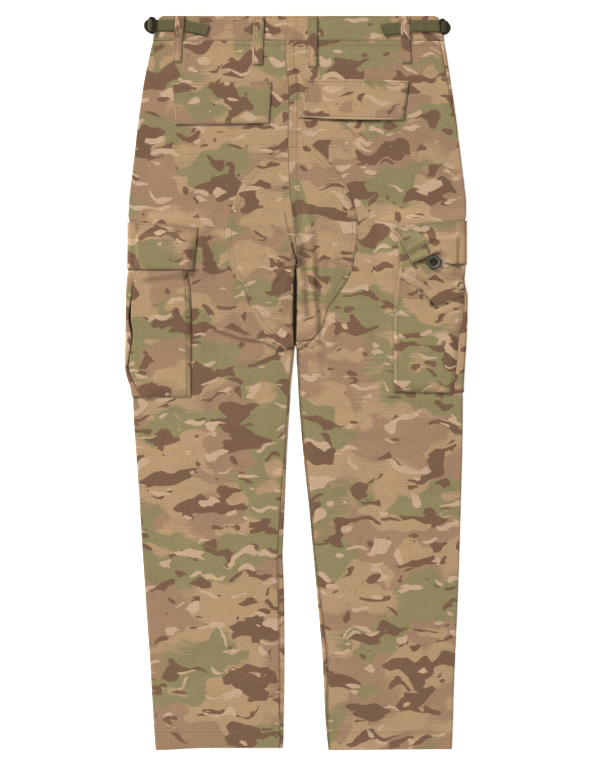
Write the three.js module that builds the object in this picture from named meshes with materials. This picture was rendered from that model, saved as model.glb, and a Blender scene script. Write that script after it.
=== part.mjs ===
// Cargo pants laid flat with the back side up, in millimetres: +Z up, +Y towards the waistband, +X to the viewer's right.
// The origin is under the middle of the outline, on the surface that the pants lie on.
import * as THREE from "three";
import { mergeVertices } from "three/addons/utils/BufferGeometryUtils.js";

// Driving dimensions
const CLOTH = 1.2; // wall of one layer of ripstop as it is sewn and pressed
const LAYER_GAP = 0.5; // air between a panel and what is sewn on it
const SEAM_GAP = 0.3; // space between two pieces at a seam
const FOLD_RADIUS = 1.4; // the cloth's own radius where a leg's side folds over
const HEM_DEPTH = 28;
const HEM_EXTRA = 0.6;
const FELL_EXTRA = 0.6; // how far the felled centre seam stands out
const FELL_WIDTH = 11;
const OUTSEAM_OVER = 4.5; // how far the front panel comes over the side at the right hip
const PATCH_INSET = 4.6; // from a leg's inner edge to the seat patch
const BAND_CLOTH = 2;
const BAND_RADIUS = 1.3;
const BAND_BOTTOM = 496;
const BAND_TOP = 532.5;
const CROTCH_Y = 175;
const CENTRE_FRONT_X = 2;
const PLACKET_WIDTH = 40;
const PLACKET_BOTTOM = 320;
const PATCH_CLOTH = 1;
const FLAP_CLOTH = 1.5;
const POCKET_FRONT_DEPTH = 90; // how far a cargo pocket reaches round the side onto the front
const POCKET_TUCK = 8; // cloth of the pocket's front half under the pleat
const POCKET_PUFF = 2.2;
const POCKET_LIFT_REACH = 105; // the leg lies this far in from its side on the pocket's front half
const LIFT_RAMP = 20;
const POCKET_TOP = 205;
const LOOP_CLOTH = 1.5;
const WEBBING = 1.3;
const WEBBING_WIDTH = 16.4;
const BUCKLE_WIDTH = 16;
const BUCKLE_LENGTH = 22.5;
const BUCKLE_THICK = 2.4;
const BUCKLE_BAR = 2.5;
const BUCKLE_CORNER = 4.5; // radius of the two outer corners
const BUTTON_RADIUS = 10.4;
const BUTTON_PLACE = { x: 199.7, y: 174.5 };
const HIP_FLAP_DROP = 0.8; // how much further out a hip flap's lower edge stands

const STEP = CLOTH + LAYER_GAP; // one layer and the air under it
const TURN = Math.PI * FOLD_RADIUS;
const LEG_TOP = 2 * CLOTH + 2 * (FOLD_RADIUS - CLOTH / 2); // upper face of the two layers of a leg

const MATERIALS = {
  cloth: { color: 0xa38567, roughness: 0.9, metalness: 0 },
  webbing: { color: 0x60593c, roughness: 0.85, metalness: 0 },
  plastic: { color: 0x2c2e24, roughness: 0.45, metalness: 0 },
  button: { color: 0x453b2c, roughness: 0.4, metalness: 0 },
};

// The outline of the two legs at each height, and the seam down the middle of the back
const OUTLINE = [
  { y: 532.5, leftOuter: -198.8, rightOuter: 206.5 },
  { y: 503, leftOuter: -206.8, rightOuter: 213.8 },
  { y: 496, leftOuter: -208.1, rightOuter: 214.8 },
  { y: 480, leftOuter: -212, rightOuter: 217.7 },
  { y: 439, leftOuter: -220.6, rightOuter: 223.9 },
  { y: 381, leftOuter: -229.3, rightOuter: 232.4 },
  { y: 345, leftOuter: -233.4, rightOuter: 236.5 },
  { y: 323, leftOuter: -236, rightOuter: 239.2 },
  { y: 304, leftOuter: -238.3, rightOuter: 241.4 },
  { y: 286, leftOuter: -240.6, rightOuter: 243.8 },
  { y: 268, leftOuter: -242.6, rightOuter: 246.2 },
  { y: 250, leftOuter: -243.4, rightOuter: 246.6 },
  { y: 241, leftOuter: -243.8, rightOuter: 246 },
  { y: 231, leftOuter: -241.8, rightOuter: 243.7 },
  { y: 200, leftOuter: -241, rightOuter: 243.4 },
  { y: 175, leftOuter: -240.2, leftInner: -0.1, rightInner: 1.5, rightOuter: 243 },
  { y: 150, leftOuter: -240.8, rightOuter: 242.5 },
  { y: 120, leftOuter: -241, leftInner: -0.8, rightInner: 1.1, rightOuter: 243.6 },
  { y: 62, leftOuter: -240.2, leftInner: -1.6, rightInner: 0.8, rightOuter: 243.2 },
  { y: 47.5, leftInner: -2.8, rightInner: 0.4 },
  { y: 30, leftOuter: -239.8, leftInner: -4.2, rightInner: 0.6, rightOuter: 242.7 },
  { y: 0, leftOuter: -237.6, leftInner: -7.2, rightInner: 2.2, rightOuter: 241.5 },
  { y: -25, leftOuter: -237, leftInner: -8.9, rightInner: 3.4, rightOuter: 241.6 },
  { y: -60, leftOuter: -235.5, leftInner: -11.1, rightInner: 6.2, rightOuter: 241.6 },
  { y: -112, leftOuter: -231.8, leftInner: -14.2, rightInner: 10.8, rightOuter: 240.6 },
  { y: -165, leftOuter: -228.1, leftInner: -16.3, rightInner: 16.6, rightOuter: 239.1 },
  { y: -199, leftOuter: -226, leftInner: -17.7, rightInner: 20.1, rightOuter: 238.2 },
  { y: -225, leftOuter: -224.5, leftInner: -18.9, rightInner: 22.2, rightOuter: 237.3 },
  { y: -248, leftOuter: -223.1, leftInner: -20, rightInner: 24.4, rightOuter: 236.8 },
  { y: -272, leftOuter: -221.3, leftInner: -19, rightInner: 26.7, rightOuter: 236 },
  { y: -310, leftOuter: -218.9, leftInner: -17.7, rightInner: 30.1, rightOuter: 234.5 },
  { y: -365, leftOuter: -215.1, leftInner: -17.1, rightInner: 35.2, rightOuter: 232.1 },
  { y: -402, leftOuter: -212.5, leftInner: -17.1, rightInner: 38, rightOuter: 230.4 },
  { y: -440, leftOuter: -210.2, leftInner: -17.3, rightInner: 39.9, rightOuter: 228.9 },
  { y: -489, leftOuter: -207.3, leftInner: -18.2, rightInner: 42.1, rightOuter: 227.6 },
  { y: -515, leftOuter: -205.6, leftInner: -18.6, rightInner: 44.4, rightOuter: 226.5 },
  { y: -532.5, leftOuter: -204.2, leftInner: -19.3, rightInner: 46.4, rightOuter: 225.6 },
];
const CENTRE_BACK = [
  { y: 532.5, x: -11.4 },
  { y: 500, x: -15.2 },
  { y: 464, x: -15.4 },
  { y: 441, x: -11.8 },
  { y: 413, x: -10.6 },
  { y: 345, x: -11.6 },
  { y: 279, x: -9.1 },
  { y: 236, x: -4 },
  { y: 192, x: 0.7 },
  { y: 175, x: 0.7 },
];
// Where the right outseam lies: 0 is the lower edge of the side's fold, more is up and over it
const RIGHT_OUTSEAM = [
  { y: 500, over: TURN + OUTSEAM_OVER },
  { y: 468, over: TURN + OUTSEAM_OVER * 0.8 },
  { y: 417, over: TURN + OUTSEAM_OVER * 0.35 },
  { y: 366, over: TURN * 0.5 },
  { y: 320, over: 0.5 },
  { y: -540, over: 0.5 },
];
// How far the front panels come over the inner edge, from the crotch down
const INSEAM = {
  left: [
    { y: 175, over: 0.6 },
    { y: -62, over: 0.6 },
    { y: -112, over: 1 },
    { y: -170, over: 3.6 },
    { y: -246, over: 4.8 },
    { y: -290, over: 6 },
    { y: -375, over: 5.1 },
    { y: -460, over: 3.5 },
    { y: -540, over: 2.4 },
  ],
  right: [
    { y: 175, over: 0.6 },
    { y: -230, over: 0.6 },
    { y: -290, over: 1.8 },
    { y: -350, over: 3.6 },
    { y: -388, over: 5.2 },
    { y: -415, over: 4.4 },
    { y: -485, over: 1.4 },
    { y: -515, over: 0.6 },
    { y: -540, over: 0.6 },
  ],
};
// Heights at which every panel has a row of points
const ROWS = [
  496, 470, 440, 405, 370, 345, 320, 317, 290, 268, 256, 250, 241, 231, 205, 181, 175, 162, 148, 120, 85, 50, 30, 0,
  -24, -44, -105, -170, -225, -248, -272, -320, -400, -470, -503.5, -504.5, -532.5,
];
// The largest folds of the back: a crest from one end to the other, its height and its half width
const FOLDS = [
  { fromX: 3, fromY: 285, toX: 13, toY: 150, height: 0.9, half: 13 },
  { fromX: 26, fromY: 170, toX: 35, toY: 15, height: 0.9, half: 13 },
  { fromX: -14, fromY: 170, toX: -52, toY: 112, height: 0.7, half: 12 },
  { fromX: -10, fromY: 62, toX: -60, toY: 40, height: 0.6, half: 13 },
  { fromX: 16, fromY: 44, toX: 66, toY: -8, height: 0.7, half: 16 },
  { fromX: -40, fromY: -60, toX: -150, toY: -95, height: 0.6, half: 22 },
  { fromX: 60, fromY: -75, toX: 170, toY: -50, height: 0.6, half: 22 },
  { fromX: -120, fromY: -230, toX: -50, toY: -300, height: 0.5, half: 26 },
  { fromX: 90, fromY: -260, toX: 190, toY: -330, height: 0.5, half: 26 },
  { fromX: -150, fromY: 330, toX: -60, toY: 300, height: 0.5, half: 20 },
  { fromX: 110, fromY: 300, toX: 190, toY: 330, height: 0.5, half: 20 },
];
const SEAT_PATCH = {
  left: [
    { y: 342, x: -15.5 },
    { y: 323, x: -46.8 },
    { y: 291, x: -77.2 },
    { y: 245, x: -96.1 },
    { y: 224, x: -102 },
    { y: 190, x: -100.4 },
    { y: 155, x: -90.3 },
    { y: 136, x: -77.2 },
    { y: 99, x: -63.3 },
    { y: 71, x: -42.4 },
    { y: 49, x: -12 },
  ],
  right: [
    { y: 344.5, x: 22.3 },
    { y: 326, x: 43.1 },
    { y: 303, x: 63.4 },
    { y: 270, x: 80.1 },
    { y: 242, x: 88.1 },
    { y: 210, x: 89.2 },
    { y: 190, x: 85.9 },
    { y: 159, x: 79 },
    { y: 136, x: 66.3 },
    { y: 108, x: 46.5 },
    { y: 94, x: 43.1 },
    { y: 71, x: 31.5 },
    { y: 49, x: 9 },
  ],
};
// Corners of the hip pocket flaps: upper and lower edge from the left to the right
const HIP_FLAPS = {
  left: { upper: [[-179.7, 434.6], [-35.5, 436.7]], lower: [[-175.1, 374.6], [-40.1, 376.6]] },
  right: { upper: [[14, 439.5], [163.5, 437.5]], lower: [[9.8, 384.6], [155.5, 381.6]] },
};
// Cargo pockets seen from the back: the sewn inner edge, the pleat at the side and the outline round the side
const CARGO_POCKETS = {
  left: {
    out: -1,
    bottom: -20.5,
    inner: [{ y: 205, x: -155.5 }, { y: 160, x: -158 }, { y: 139, x: -154.6 }, { y: 94, x: -152.6 }, { y: -21, x: -152.6 }],
    pleat: [
      { y: 205, x: -228 },
      { y: 165, x: -230 },
      { y: 143, x: -236 },
      { y: 94, x: -239.5 },
      { y: 68, x: -236.7 },
      { y: 39, x: -241 },
      { y: 21, x: -242.5 },
      { y: 4, x: -236 },
      { y: -21, x: -224 },
    ],
    side: [
      { y: 233, x: -243.4 },
      { y: 182, x: -243.4 },
      { y: 165, x: -244.4 },
      { y: 150, x: -245.9 },
      { y: 124, x: -247.5 },
      { y: 100, x: -247.6 },
      { y: 55, x: -248.4 },
      { y: 30, x: -248.6 },
      { y: 19, x: -248 },
      { y: 7.5, x: -245.6 },
      { y: -4, x: -241.6 },
      { y: -21, x: -238.6 },
    ],
  },
  right: {
    out: 1,
    bottom: -14,
    inner: [{ y: 205, x: 147 }, { y: 169, x: 149.7 }, { y: 139, x: 144.2 }, { y: 94, x: 141.7 }, { y: -15, x: 141.7 }],
    pleat: [
      { y: 205, x: 231 },
      { y: 165, x: 232 },
      { y: 134, x: 240 },
      { y: 76, x: 241 },
      { y: 33, x: 237.4 },
      { y: 15, x: 233.1 },
      { y: -15, x: 231.6 },
    ],
    side: [
      { y: 233, x: 245.6 },
      { y: 165, x: 245.6 },
      { y: 150, x: 244.4 },
      { y: 140, x: 245.4 },
      { y: 130, x: 248.2 },
      { y: 118, x: 248.8 },
      { y: 100, x: 248.5 },
      { y: 78, x: 247.9 },
      { y: 55, x: 246.9 },
      { y: 30, x: 245.2 },
      { y: -4, x: 243.1 },
      { y: -15, x: 242.4 },
    ],
  },
};
// Cargo flaps seen from the back: a row for each place across, from the inner edge to the side
const CARGO_FLAPS = {
  left: [
    { share: 0, upperX: -142.5, upperY: 225, lowerX: -150.1, lowerY: 163.8 },
    { share: 0.5, upperX: -181.6, upperY: 229.6, lowerX: -186, lowerY: 164.1 },
    { share: 1, upperX: -234, upperY: 232.5, lowerX: -234, lowerY: 164.8 },
  ],
  right: [
    { share: 0, upperX: 141.7, upperY: 224.4, lowerX: 168.6, lowerY: 173 },
    { share: 0.25, upperX: 166, upperY: 228.5, lowerX: 187, lowerY: 181 },
    { share: 0.5, upperX: 190, upperY: 232, lowerX: 206, lowerY: 188.5 },
    { share: 0.75, upperX: 212, upperY: 233.8, lowerX: 216, lowerY: 174 },
    { share: 1, upperX: 237, upperY: 234.6, lowerX: 237, lowerY: 171 },
  ],
};
const BELT_LOOPS = [
  { name: "belt_loop_1", top: 532, topX: -168.2, bottom: 465.1, bottomX: -174, width: 13, rise: 2 },
  { name: "belt_loop_2", top: 532, topX: -54.2, bottom: 461.3, bottomX: -56, width: 15.4, rise: 0.7 },
  { name: "belt_loop_3", top: 532, topX: 23.9, bottom: 457.8, bottomX: 23.5, width: 14.2, rise: 0.7 },
  { name: "belt_loop_4", top: 531, topX: 157.8, bottom: 463.6, bottomX: 160.2, width: 13.6, rise: 2 },
];
// The webbing's way through a slide buckle, seen along +Y: out from the waistband's side, and up
const WEBBING_ROUTE = [
  { out: -38, z: 5.55 },
  { out: -14, z: 5.55 },
  { out: -2, z: 5.55 },
  { out: 1.3, z: 5.55 },
  { out: 3.2, z: 6.1 },
  { out: 4.4, z: 7.4 },
  { out: 5, z: 9 },
  { out: 6.4, z: 10 },
  { out: 8, z: 10.3 },
  { out: 9.6, z: 10 },
  { out: 11, z: 9 },
  { out: 11.5, z: 7.2 },
  { out: 11.3, z: 5.2 },
  { out: 10.2, z: 4.1 },
  { out: 8.4, z: 3.7 },
  { out: 7, z: 3.6 },
  { out: 5.8, z: 3.6 },
];
const SIDE_STRAPS = {
  left: { out: -1, sideX: -204, y: 518.4, tailX: -128.3, tailY: 511, tailSlant: 5 },
  right: { out: 1, sideX: 207.4, y: 517.6, tailX: 124.9, tailY: 511, tailSlant: -5.5 },
};
const BUCKLE_Z = 7.8;

const group = new THREE.Group();

// Values and places

function between(a, b, share) {
  return a + (b - a) * share;
}

function ramp(from, to, value) {
  return THREE.MathUtils.clamp((value - from) / (to - from), 0, 1);
}

// The value of a table's column at a height, on a smooth line through the rows that have it.
function along(table, column, y) {
  const rows = table.filter((row) => row[column] !== undefined).sort((a, b) => a.y - b.y);
  const last = rows.length - 1;
  const place = THREE.MathUtils.clamp(y, rows[0].y, rows[last].y);
  const next = Math.max(1, rows.findIndex((row) => row.y >= place));
  const [a, b] = [rows[next - 1], rows[next]];
  const slope = (i, j) => (rows[j][column] - rows[i][column]) / (rows[j].y - rows[i].y);
  const slopeA = slope(Math.max(next - 2, 0), next);
  const slopeB = slope(next - 1, Math.min(next + 1, last));
  const span = b.y - a.y;
  const t = (place - a.y) / span;
  const bend = t * (1 - t) * span * ((1 - t) * slopeA - t * slopeB);
  return between(a[column], b[column], t * t * (3 - 2 * t)) + bend;
}

const leftEdge = (y) => along(OUTLINE, "leftOuter", y) + CLOTH / 2;
const rightEdge = (y) => along(OUTLINE, "rightOuter", y) - CLOTH / 2;
const leftInner = (y) => along(OUTLINE, "leftInner", y) - CLOTH / 2;
const rightInner = (y) => along(OUTLINE, "rightInner", y) + CLOTH / 2;
const centreBack = (y) => along(CENTRE_BACK, "x", y);

// The heights that a cargo pocket's front half, and its flap, hold the leg off the surface.
function lifts(x, y) {
  const reach = x < 0 ? x - leftEdge(y) : rightEdge(y) - x;
  const across = 1 - ramp(POCKET_LIFT_REACH, POCKET_LIFT_REACH + LIFT_RAMP, reach);
  const pocket = ramp(-44, -24, y) * (1 - ramp(236, 256, y));
  const flap = ramp(148, 162, y) * (1 - ramp(236, 250, y));
  return { pocket: STEP * across * pocket, flap: STEP * across * flap };
}

function lift(x, y) {
  const { pocket, flap } = lifts(x, y);
  return pocket + flap;
}

// How far the back stands over its flat height: a slight fullness, and the folds.
function relief(x, y) {
  const reach = Math.min(x - leftEdge(y), rightEdge(y) - x);
  const inner = x < 0 ? leftInner(y) - x : x - rightInner(y);
  const atInner = y > CROTCH_Y ? 1 : ramp(4, 45, inner);
  const clearOfPocket = ramp(110, 140, reach) + (1 - ramp(-80, -44, y)) + ramp(256, 290, y);
  let height = 0.8 * ramp(12, 80, reach) * Math.min(1, atInner + 0.25 * ramp(150, 175, y));
  for (const fold of FOLDS) {
    const [runX, runY] = [fold.toX - fold.fromX, fold.toY - fold.fromY];
    const length = Math.hypot(runX, runY);
    const share = ((x - fold.fromX) * runX + (y - fold.fromY) * runY) / length ** 2;
    const off = ((x - fold.fromX) * runY - (y - fold.fromY) * runX) / length;
    const ends = Math.exp(-((Math.max(0, -share, share - 1) * length) ** 2) / (2 * fold.half ** 2));
    height += fold.height * ends * Math.exp(-((off / fold.half) ** 2)) * Math.min(1, 3 * atInner);
  }
  const atBand = 1 - ramp(455, 490, y);
  return height * Math.min(1, clearOfPocket) * atBand * ramp(8, 30, reach);
}

// The upper face of the back, which what is sewn on it is measured from.
function backFace(x, y) {
  return LEG_TOP + lift(x, y) + relief(x, y);
}

// A point of a layer that folds round a side: s is measured along the cloth from where it leaves the lower layer.
function roundSide(side, s, y) {
  const { x, out, radius, low, high } = side;
  const turn = Math.PI * radius;
  if (s <= 0) {
    const px = x - out * (radius - s);
    return { x: px, y, z: low(px, y), nx: 0, nz: -1 };
  }
  if (s < turn) {
    const angle = s / radius;
    const z = low(x, y) + radius * (1 - Math.cos(angle));
    return { x: x - out * radius * (1 - Math.sin(angle)), y, z, nx: out * Math.sin(angle), nz: -Math.cos(angle) };
  }
  const px = x - out * (radius + s - turn);
  return { x: px, y, z: high(px, y), nx: 0, nz: 1 };
}

const legLow = (x, y) => CLOTH / 2 + lift(x, y);
const legHigh = (x, y) => backFace(x, y) - CLOTH / 2;

function legSide(x, out) {
  return { x, out, radius: FOLD_RADIUS, low: legLow, high: legHigh };
}

// Walls and solids

function addPart(name, geometry, look) {
  const material = new THREE.MeshStandardMaterial(MATERIALS[look]);
  const mesh = new THREE.Mesh(geometry, material);
  mesh.name = name;
  group.add(mesh);
  return mesh;
}

// Turns the faces outwards.
function facedOut(geometry) {
  const { position } = geometry.attributes;
  const index = geometry.index.array;
  const corner = (k) => new THREE.Vector3().fromBufferAttribute(position, index[k]);
  let volume = 0;
  for (let k = 0; k < index.length; k += 3) volume += corner(k).dot(corner(k + 1).cross(corner(k + 2)));
  if (volume < 0) {
    for (let k = 0; k < index.length; k += 3) [index[k], index[k + 1]] = [index[k + 1], index[k]];
  }
  return geometry;
}

// A closed wall through a grid of points of its middle, each with the direction of its outer face.
function wall(grid) {
  const across = grid[0].length - 1;
  const down = grid.length - 1;
  const box = new THREE.BoxGeometry(1, 1, 1, across, down, 1);
  box.deleteAttribute("normal");
  box.deleteAttribute("uv");
  const geometry = mergeVertices(box);
  const { position } = geometry.attributes;
  for (let k = 0; k < position.count; k++) {
    const row = Math.round((position.getY(k) + 0.5) * down);
    const column = Math.round((position.getX(k) + 0.5) * across);
    const point = grid[row][column];
    const { outer = CLOTH / 2, inner = CLOTH / 2, nx = 0, nz = 1 } = point;
    const move = position.getZ(k) > 0 ? outer : -inner;
    position.setXYZ(k, point.x + nx * move, point.y, point.z + nz * move);
  }
  return facedOut(geometry);
}

// Legs

// The hems aren't quite level: the last row follows them.
function hemLine(x, y) {
  if (y > ROWS.at(-1)) return y;
  return x < 0 ? y + 3 * ramp(-192, -139, x) : y + 1.2 * ramp(60, 200, x);
}

function isHem(y) {
  return y < ROWS.at(-1) + HEM_DEPTH + 0.5;
}

const isLeft = (leg) => leg === "left";

// The outer side of a leg, and the height of its seam along the fold.
function outerSide(leg, y) {
  const side = isLeft(leg) ? legSide(leftEdge(y), -1) : legSide(rightEdge(y), 1);
  return { side, seam: isLeft(leg) ? 0.5 : along(RIGHT_OUTSEAM, "over", y) };
}

// The inner side of a leg below the crotch. Above it the panel ends at the middle instead, and that end is
// given as a fold of which only the upper or the lower part is used.
function innerSide(leg, layer, y) {
  const out = isLeft(leg) ? 1 : -1;
  if (y <= CROTCH_Y) {
    const side = legSide(isLeft(leg) ? leftInner(y) : rightInner(y), out);
    return { side, seam: TURN + along(INSEAM[leg], "over", y) };
  }
  if (layer === "back") {
    return { side: legSide(centreBack(y) + out * FOLD_RADIUS, out), seam: TURN };
  }
  const atPlacket = isLeft(leg) && y >= PLACKET_BOTTOM;
  const middle = atPlacket ? CENTRE_FRONT_X - PLACKET_WIDTH : CENTRE_FRONT_X;
  return { side: legSide(middle + out * FOLD_RADIUS, out), seam: 0 };
}

const SIDE_SHARES = [0, 0.16, 0.32, 0.5, 0.72, 1];
const MIDDLE_SHARES = [0.25, 0.45, 0.62, 0.76, 0.89];

// The upper layer from the outer side to the inner side.
function backRow(leg, y) {
  const outer = outerSide(leg, y);
  const inner = innerSide(leg, "back", y);
  const reach = (s) => roundSide(outer.side, s, y);
  const first = outer.seam + SEAM_GAP / 2;
  const row = SIDE_SHARES.map((share) => reach(between(first, TURN + 12, share)));
  for (const distance of [50, POCKET_LIFT_REACH, POCKET_LIFT_REACH + LIFT_RAMP]) {
    row.push(reach(TURN + distance - FOLD_RADIUS));
  }
  const last = inner.seam + SEAM_GAP / 2;
  const end = [1, 0.8, 0.45, 0.2, 0].map((share) => roundSide(inner.side, between(last, TURN + 16, share), y));
  const from = row.at(-1).x;
  for (const share of MIDDLE_SHARES) {
    const x = between(from, end[0].x, share);
    row.push({ x, y, z: legHigh(x, y), nx: 0, nz: 1 });
  }
  row.push(...end);
  const felled = !isLeft(leg) && y > 345;
  return row.map((point) => {
    const extra = isHem(y) ? HEM_EXTRA : 0;
    const fell = felled && point.x < centreBack(y) + FELL_WIDTH ? FELL_EXTRA : 0;
    const outer = CLOTH / 2 + Math.max(extra, fell) * Math.max(0, point.nz);
    return { ...point, y: hemLine(point.x, y), outer };
  });
}

// The lower layer from the seam at the inner side, under the leg, to the seam at the outer side.
function frontRow(leg, y) {
  const outer = outerSide(leg, y);
  const inner = innerSide(leg, "front", y);
  const shares = [1, 0.78, 0.58, 0.4, 0];
  const last = inner.seam - SEAM_GAP / 2;
  const row = shares.map((share) => roundSide(inner.side, between(-8, last, share), y));
  const reach = (s) => roundSide(outer.side, s, y);
  const far = reach(-(POCKET_LIFT_REACH + LIFT_RAMP - FOLD_RADIUS));
  for (const share of [0.33, 0.67]) {
    const x = between(row.at(-1).x, far.x, share);
    row.push({ x, y, z: legLow(x, y), nx: 0, nz: -1 });
  }
  row.push(far);
  for (const distance of [POCKET_LIFT_REACH, 50]) row.push(reach(-(distance - FOLD_RADIUS)));
  const end = outer.seam - SEAM_GAP / 2;
  for (const share of [0, 0.4, 0.58, 0.78, 1]) row.push(reach(between(-8, end, share)));
  return row.map((point) => {
    const extra = isHem(y) ? HEM_EXTRA : 0;
    return { ...point, y: hemLine(point.x, y), inner: CLOTH / 2 + extra };
  });
}

function addLegs() {
  const rows = ROWS.map((y) => (y === BAND_BOTTOM ? y - SEAM_GAP / 2 : y)).reverse();
  for (const leg of ["left", "right"]) {
    addPart(`back_panel_${leg}`, wall(rows.map((y) => backRow(leg, y))), "cloth");
    addPart(`front_panel_${leg}`, wall(rows.map((y) => frontRow(leg, y))), "cloth");
  }
}

// Seat patches, hip flaps and the fly

function addSeatPatches() {
  const shares = [0, 0.1, 0.25, 0.42, 0.6, 0.78, 1];
  for (const leg of ["left", "right"]) {
    const table = SEAT_PATCH[leg];
    const [top, bottom] = [table[0].y, table.at(-1).y];
    const heights = [bottom, 60, ...table.slice(1, -1).map((row) => row.y).reverse(), top];
    const stops = [...new Set([...heights, CROTCH_Y, 181])].sort((a, b) => a - b);
    const out = isLeft(leg) ? -1 : 1;
    const grid = stops.map((y) => {
      const edge = isLeft(leg) ? leftInner(y) : rightInner(y);
      const inner = y > CROTCH_Y ? centreBack(y) + out * 0.8 : edge + out * PATCH_INSET;
      return shares.map((share) => {
        const x = between(inner, along(table, "x", y), share);
        return { x, y, z: backFace(x, y) + LAYER_GAP + PATCH_CLOTH / 2, outer: PATCH_CLOTH / 2, inner: PATCH_CLOTH / 2 };
      });
    });
    addPart(`seat_patch_${leg}`, wall(grid), "cloth");
  }
}

function addHipFlaps() {
  for (const [leg, { upper, lower }] of Object.entries(HIP_FLAPS)) {
    const grid = [];
    for (const down of [0, 0.3, 0.65, 1]) {
      const row = [];
      for (let k = 0; k <= 8; k++) {
        const [topX, topY] = [0, 1].map((axis) => between(upper[0][axis], upper[1][axis], k / 8));
        const [lowX, lowY] = [0, 1].map((axis) => between(lower[0][axis], lower[1][axis], k / 8));
        const [x, y] = [between(topX, lowX, down), between(topY, lowY, down)];
        const fell = backFace(x, y) + (x > 0 && x < centreBack(y) + FELL_WIDTH + 8 ? FELL_EXTRA : 0);
        const z = fell + LAYER_GAP + FLAP_CLOTH / 2 + HIP_FLAP_DROP * down;
        row.push({ x, y, z, outer: FLAP_CLOTH / 2, inner: FLAP_CLOTH / 2 });
      }
      grid.push(row);
    }
    addPart(`hip_flap_${leg}`, wall(grid), "cloth");
  }
}

function addPlacket() {
  const grid = [PLACKET_BOTTOM + 0.6, 400, BAND_BOTTOM - SEAM_GAP / 2].map((y) =>
    [0, 0.5, 1].map((share) => {
      const inset = SEAM_GAP;
      const x = between(CENTRE_FRONT_X - PLACKET_WIDTH + inset, CENTRE_FRONT_X - inset, share);
      return { x, y, z: CLOTH / 2 };
    }),
  );
  addPart("fly_placket", wall(grid), "cloth");
}

// Waistband, belt loops and side adjusters

function bandSide(y, out) {
  const silhouette = along(OUTLINE, out < 0 ? "leftOuter" : "rightOuter", y);
  const low = () => BAND_CLOTH / 2;
  const high = () => BAND_CLOTH / 2 + 2 * BAND_RADIUS;
  return { x: silhouette - (out * BAND_CLOTH) / 2, out, radius: BAND_RADIUS, low, high };
}

const BAND_FACE = BAND_CLOTH + 2 * BAND_RADIUS; // upper face of the waistband

function addWaistband() {
  const heights = [BAND_BOTTOM + SEAM_GAP / 2, 498, 514, 531, BAND_TOP];
  const half = { outer: BAND_CLOTH / 2, inner: BAND_CLOTH / 2 };
  const seam = (Math.PI * BAND_RADIUS) / 2;
  const spread = (from, to, count) => Array.from({ length: count }, (_, k) => between(from, to, (k + 1) / (count + 1)));
  const backGrid = heights.map((y) => {
    const [left, right] = [bandSide(y, -1), bandSide(y, 1)];
    const reach = [0, 0.5, 1].map((share) => between(seam + SEAM_GAP / 2, 2 * seam + 6, share));
    const start = reach.map((s) => roundSide(left, s, y));
    const end = reach.map((s) => roundSide(right, s, y)).reverse();
    const middle = spread(start.at(-1).x, end[0].x, 9).map((x) => ({ x, y, z: left.high(), nx: 0, nz: 1 }));
    return [...start, ...middle, ...end].map((point) => ({ ...point, ...half }));
  });
  addPart("waistband_back", wall(backGrid), "cloth");
  for (const [leg, out] of [["left", -1], ["right", 1]]) {
    const grid = heights.map((y) => {
      const side = bandSide(y, out);
      const stops = [-6, 0, seam / 2, seam - SEAM_GAP / 2];
      const end = stops.map((s) => roundSide(side, s, y));
      const middle = CENTRE_FRONT_X + (out * SEAM_GAP) / 2;
      const row = [middle, ...spread(middle, end[0].x, 4)].map((x) => ({ x, y, z: side.low(), nx: 0, nz: -1 }));
      return [...row, ...end].map((point) => ({ ...point, ...half }));
    });
    addPart(`waistband_front_${leg}`, wall(grid), "cloth");
  }
}

function addBeltLoops() {
  for (const loop of BELT_LOOPS) {
    const stops = [0, 0.1, 0.32, 0.42, 0.5, 0.62, 0.8, 0.92, 0.97, 1];
    const grid = stops.map((share) => {
      const y = between(loop.bottom, loop.top, share);
      const centre = between(loop.bottomX, loop.topX, share);
      const overBand = ramp(0.32, 0.42, share);
      const rise = loop.rise * ramp(0.5, 0.62, share) * (1 - ramp(0.92, 1, share));
      return [-0.5, 0, 0.5].map((across) => {
        const x = centre + across * loop.width;
        const fell = x < centreBack(y) + FELL_WIDTH + 12 && x > 0 ? FELL_EXTRA : 0;
        const face = between(backFace(x, y) + fell, Math.max(BAND_FACE, backFace(x, y)), overBand);
        const z = face + LAYER_GAP + LOOP_CLOTH / 2 + rise;
        return { x, y, z, outer: LOOP_CLOTH / 2, inner: LOOP_CLOTH / 2 };
      });
    });
    addPart(loop.name, wall(grid), "cloth");
  }
}

function addSideStraps() {
  for (const [leg, strap] of Object.entries(SIDE_STRAPS)) {
    const tail = { out: strap.out * (strap.tailX - strap.sideX), z: WEBBING_ROUTE[0].z };
    const half = { out: (tail.out + WEBBING_ROUTE[0].out) / 2, z: tail.z };
    const route = [tail, half, ...WEBBING_ROUTE];
    const grid = route.map(({ out, z }, k) => {
      const before = route[Math.max(k - 1, 0)];
      const after = route[Math.min(k + 1, route.length - 1)];
      const length = Math.hypot(after.out - before.out, after.z - before.z);
      const nx = (strap.out * -(after.z - before.z)) / length;
      const nz = (after.out - before.out) / length;
      const droop = ramp(-38, tail.out, out);
      const middle = between(strap.y, strap.tailY, droop);
      return [-0.5, 0, 0.5].map((across) => {
        const slant = out === tail.out ? across * strap.tailSlant : 0;
        const x = strap.sideX + strap.out * out + slant;
        const y = middle + across * WEBBING_WIDTH;
        return { x, y, z, nx, nz, outer: WEBBING / 2, inner: WEBBING / 2 };
      });
    });
    addPart(`side_strap_${leg}`, wall(grid), "webbing");
  }
}

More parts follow.
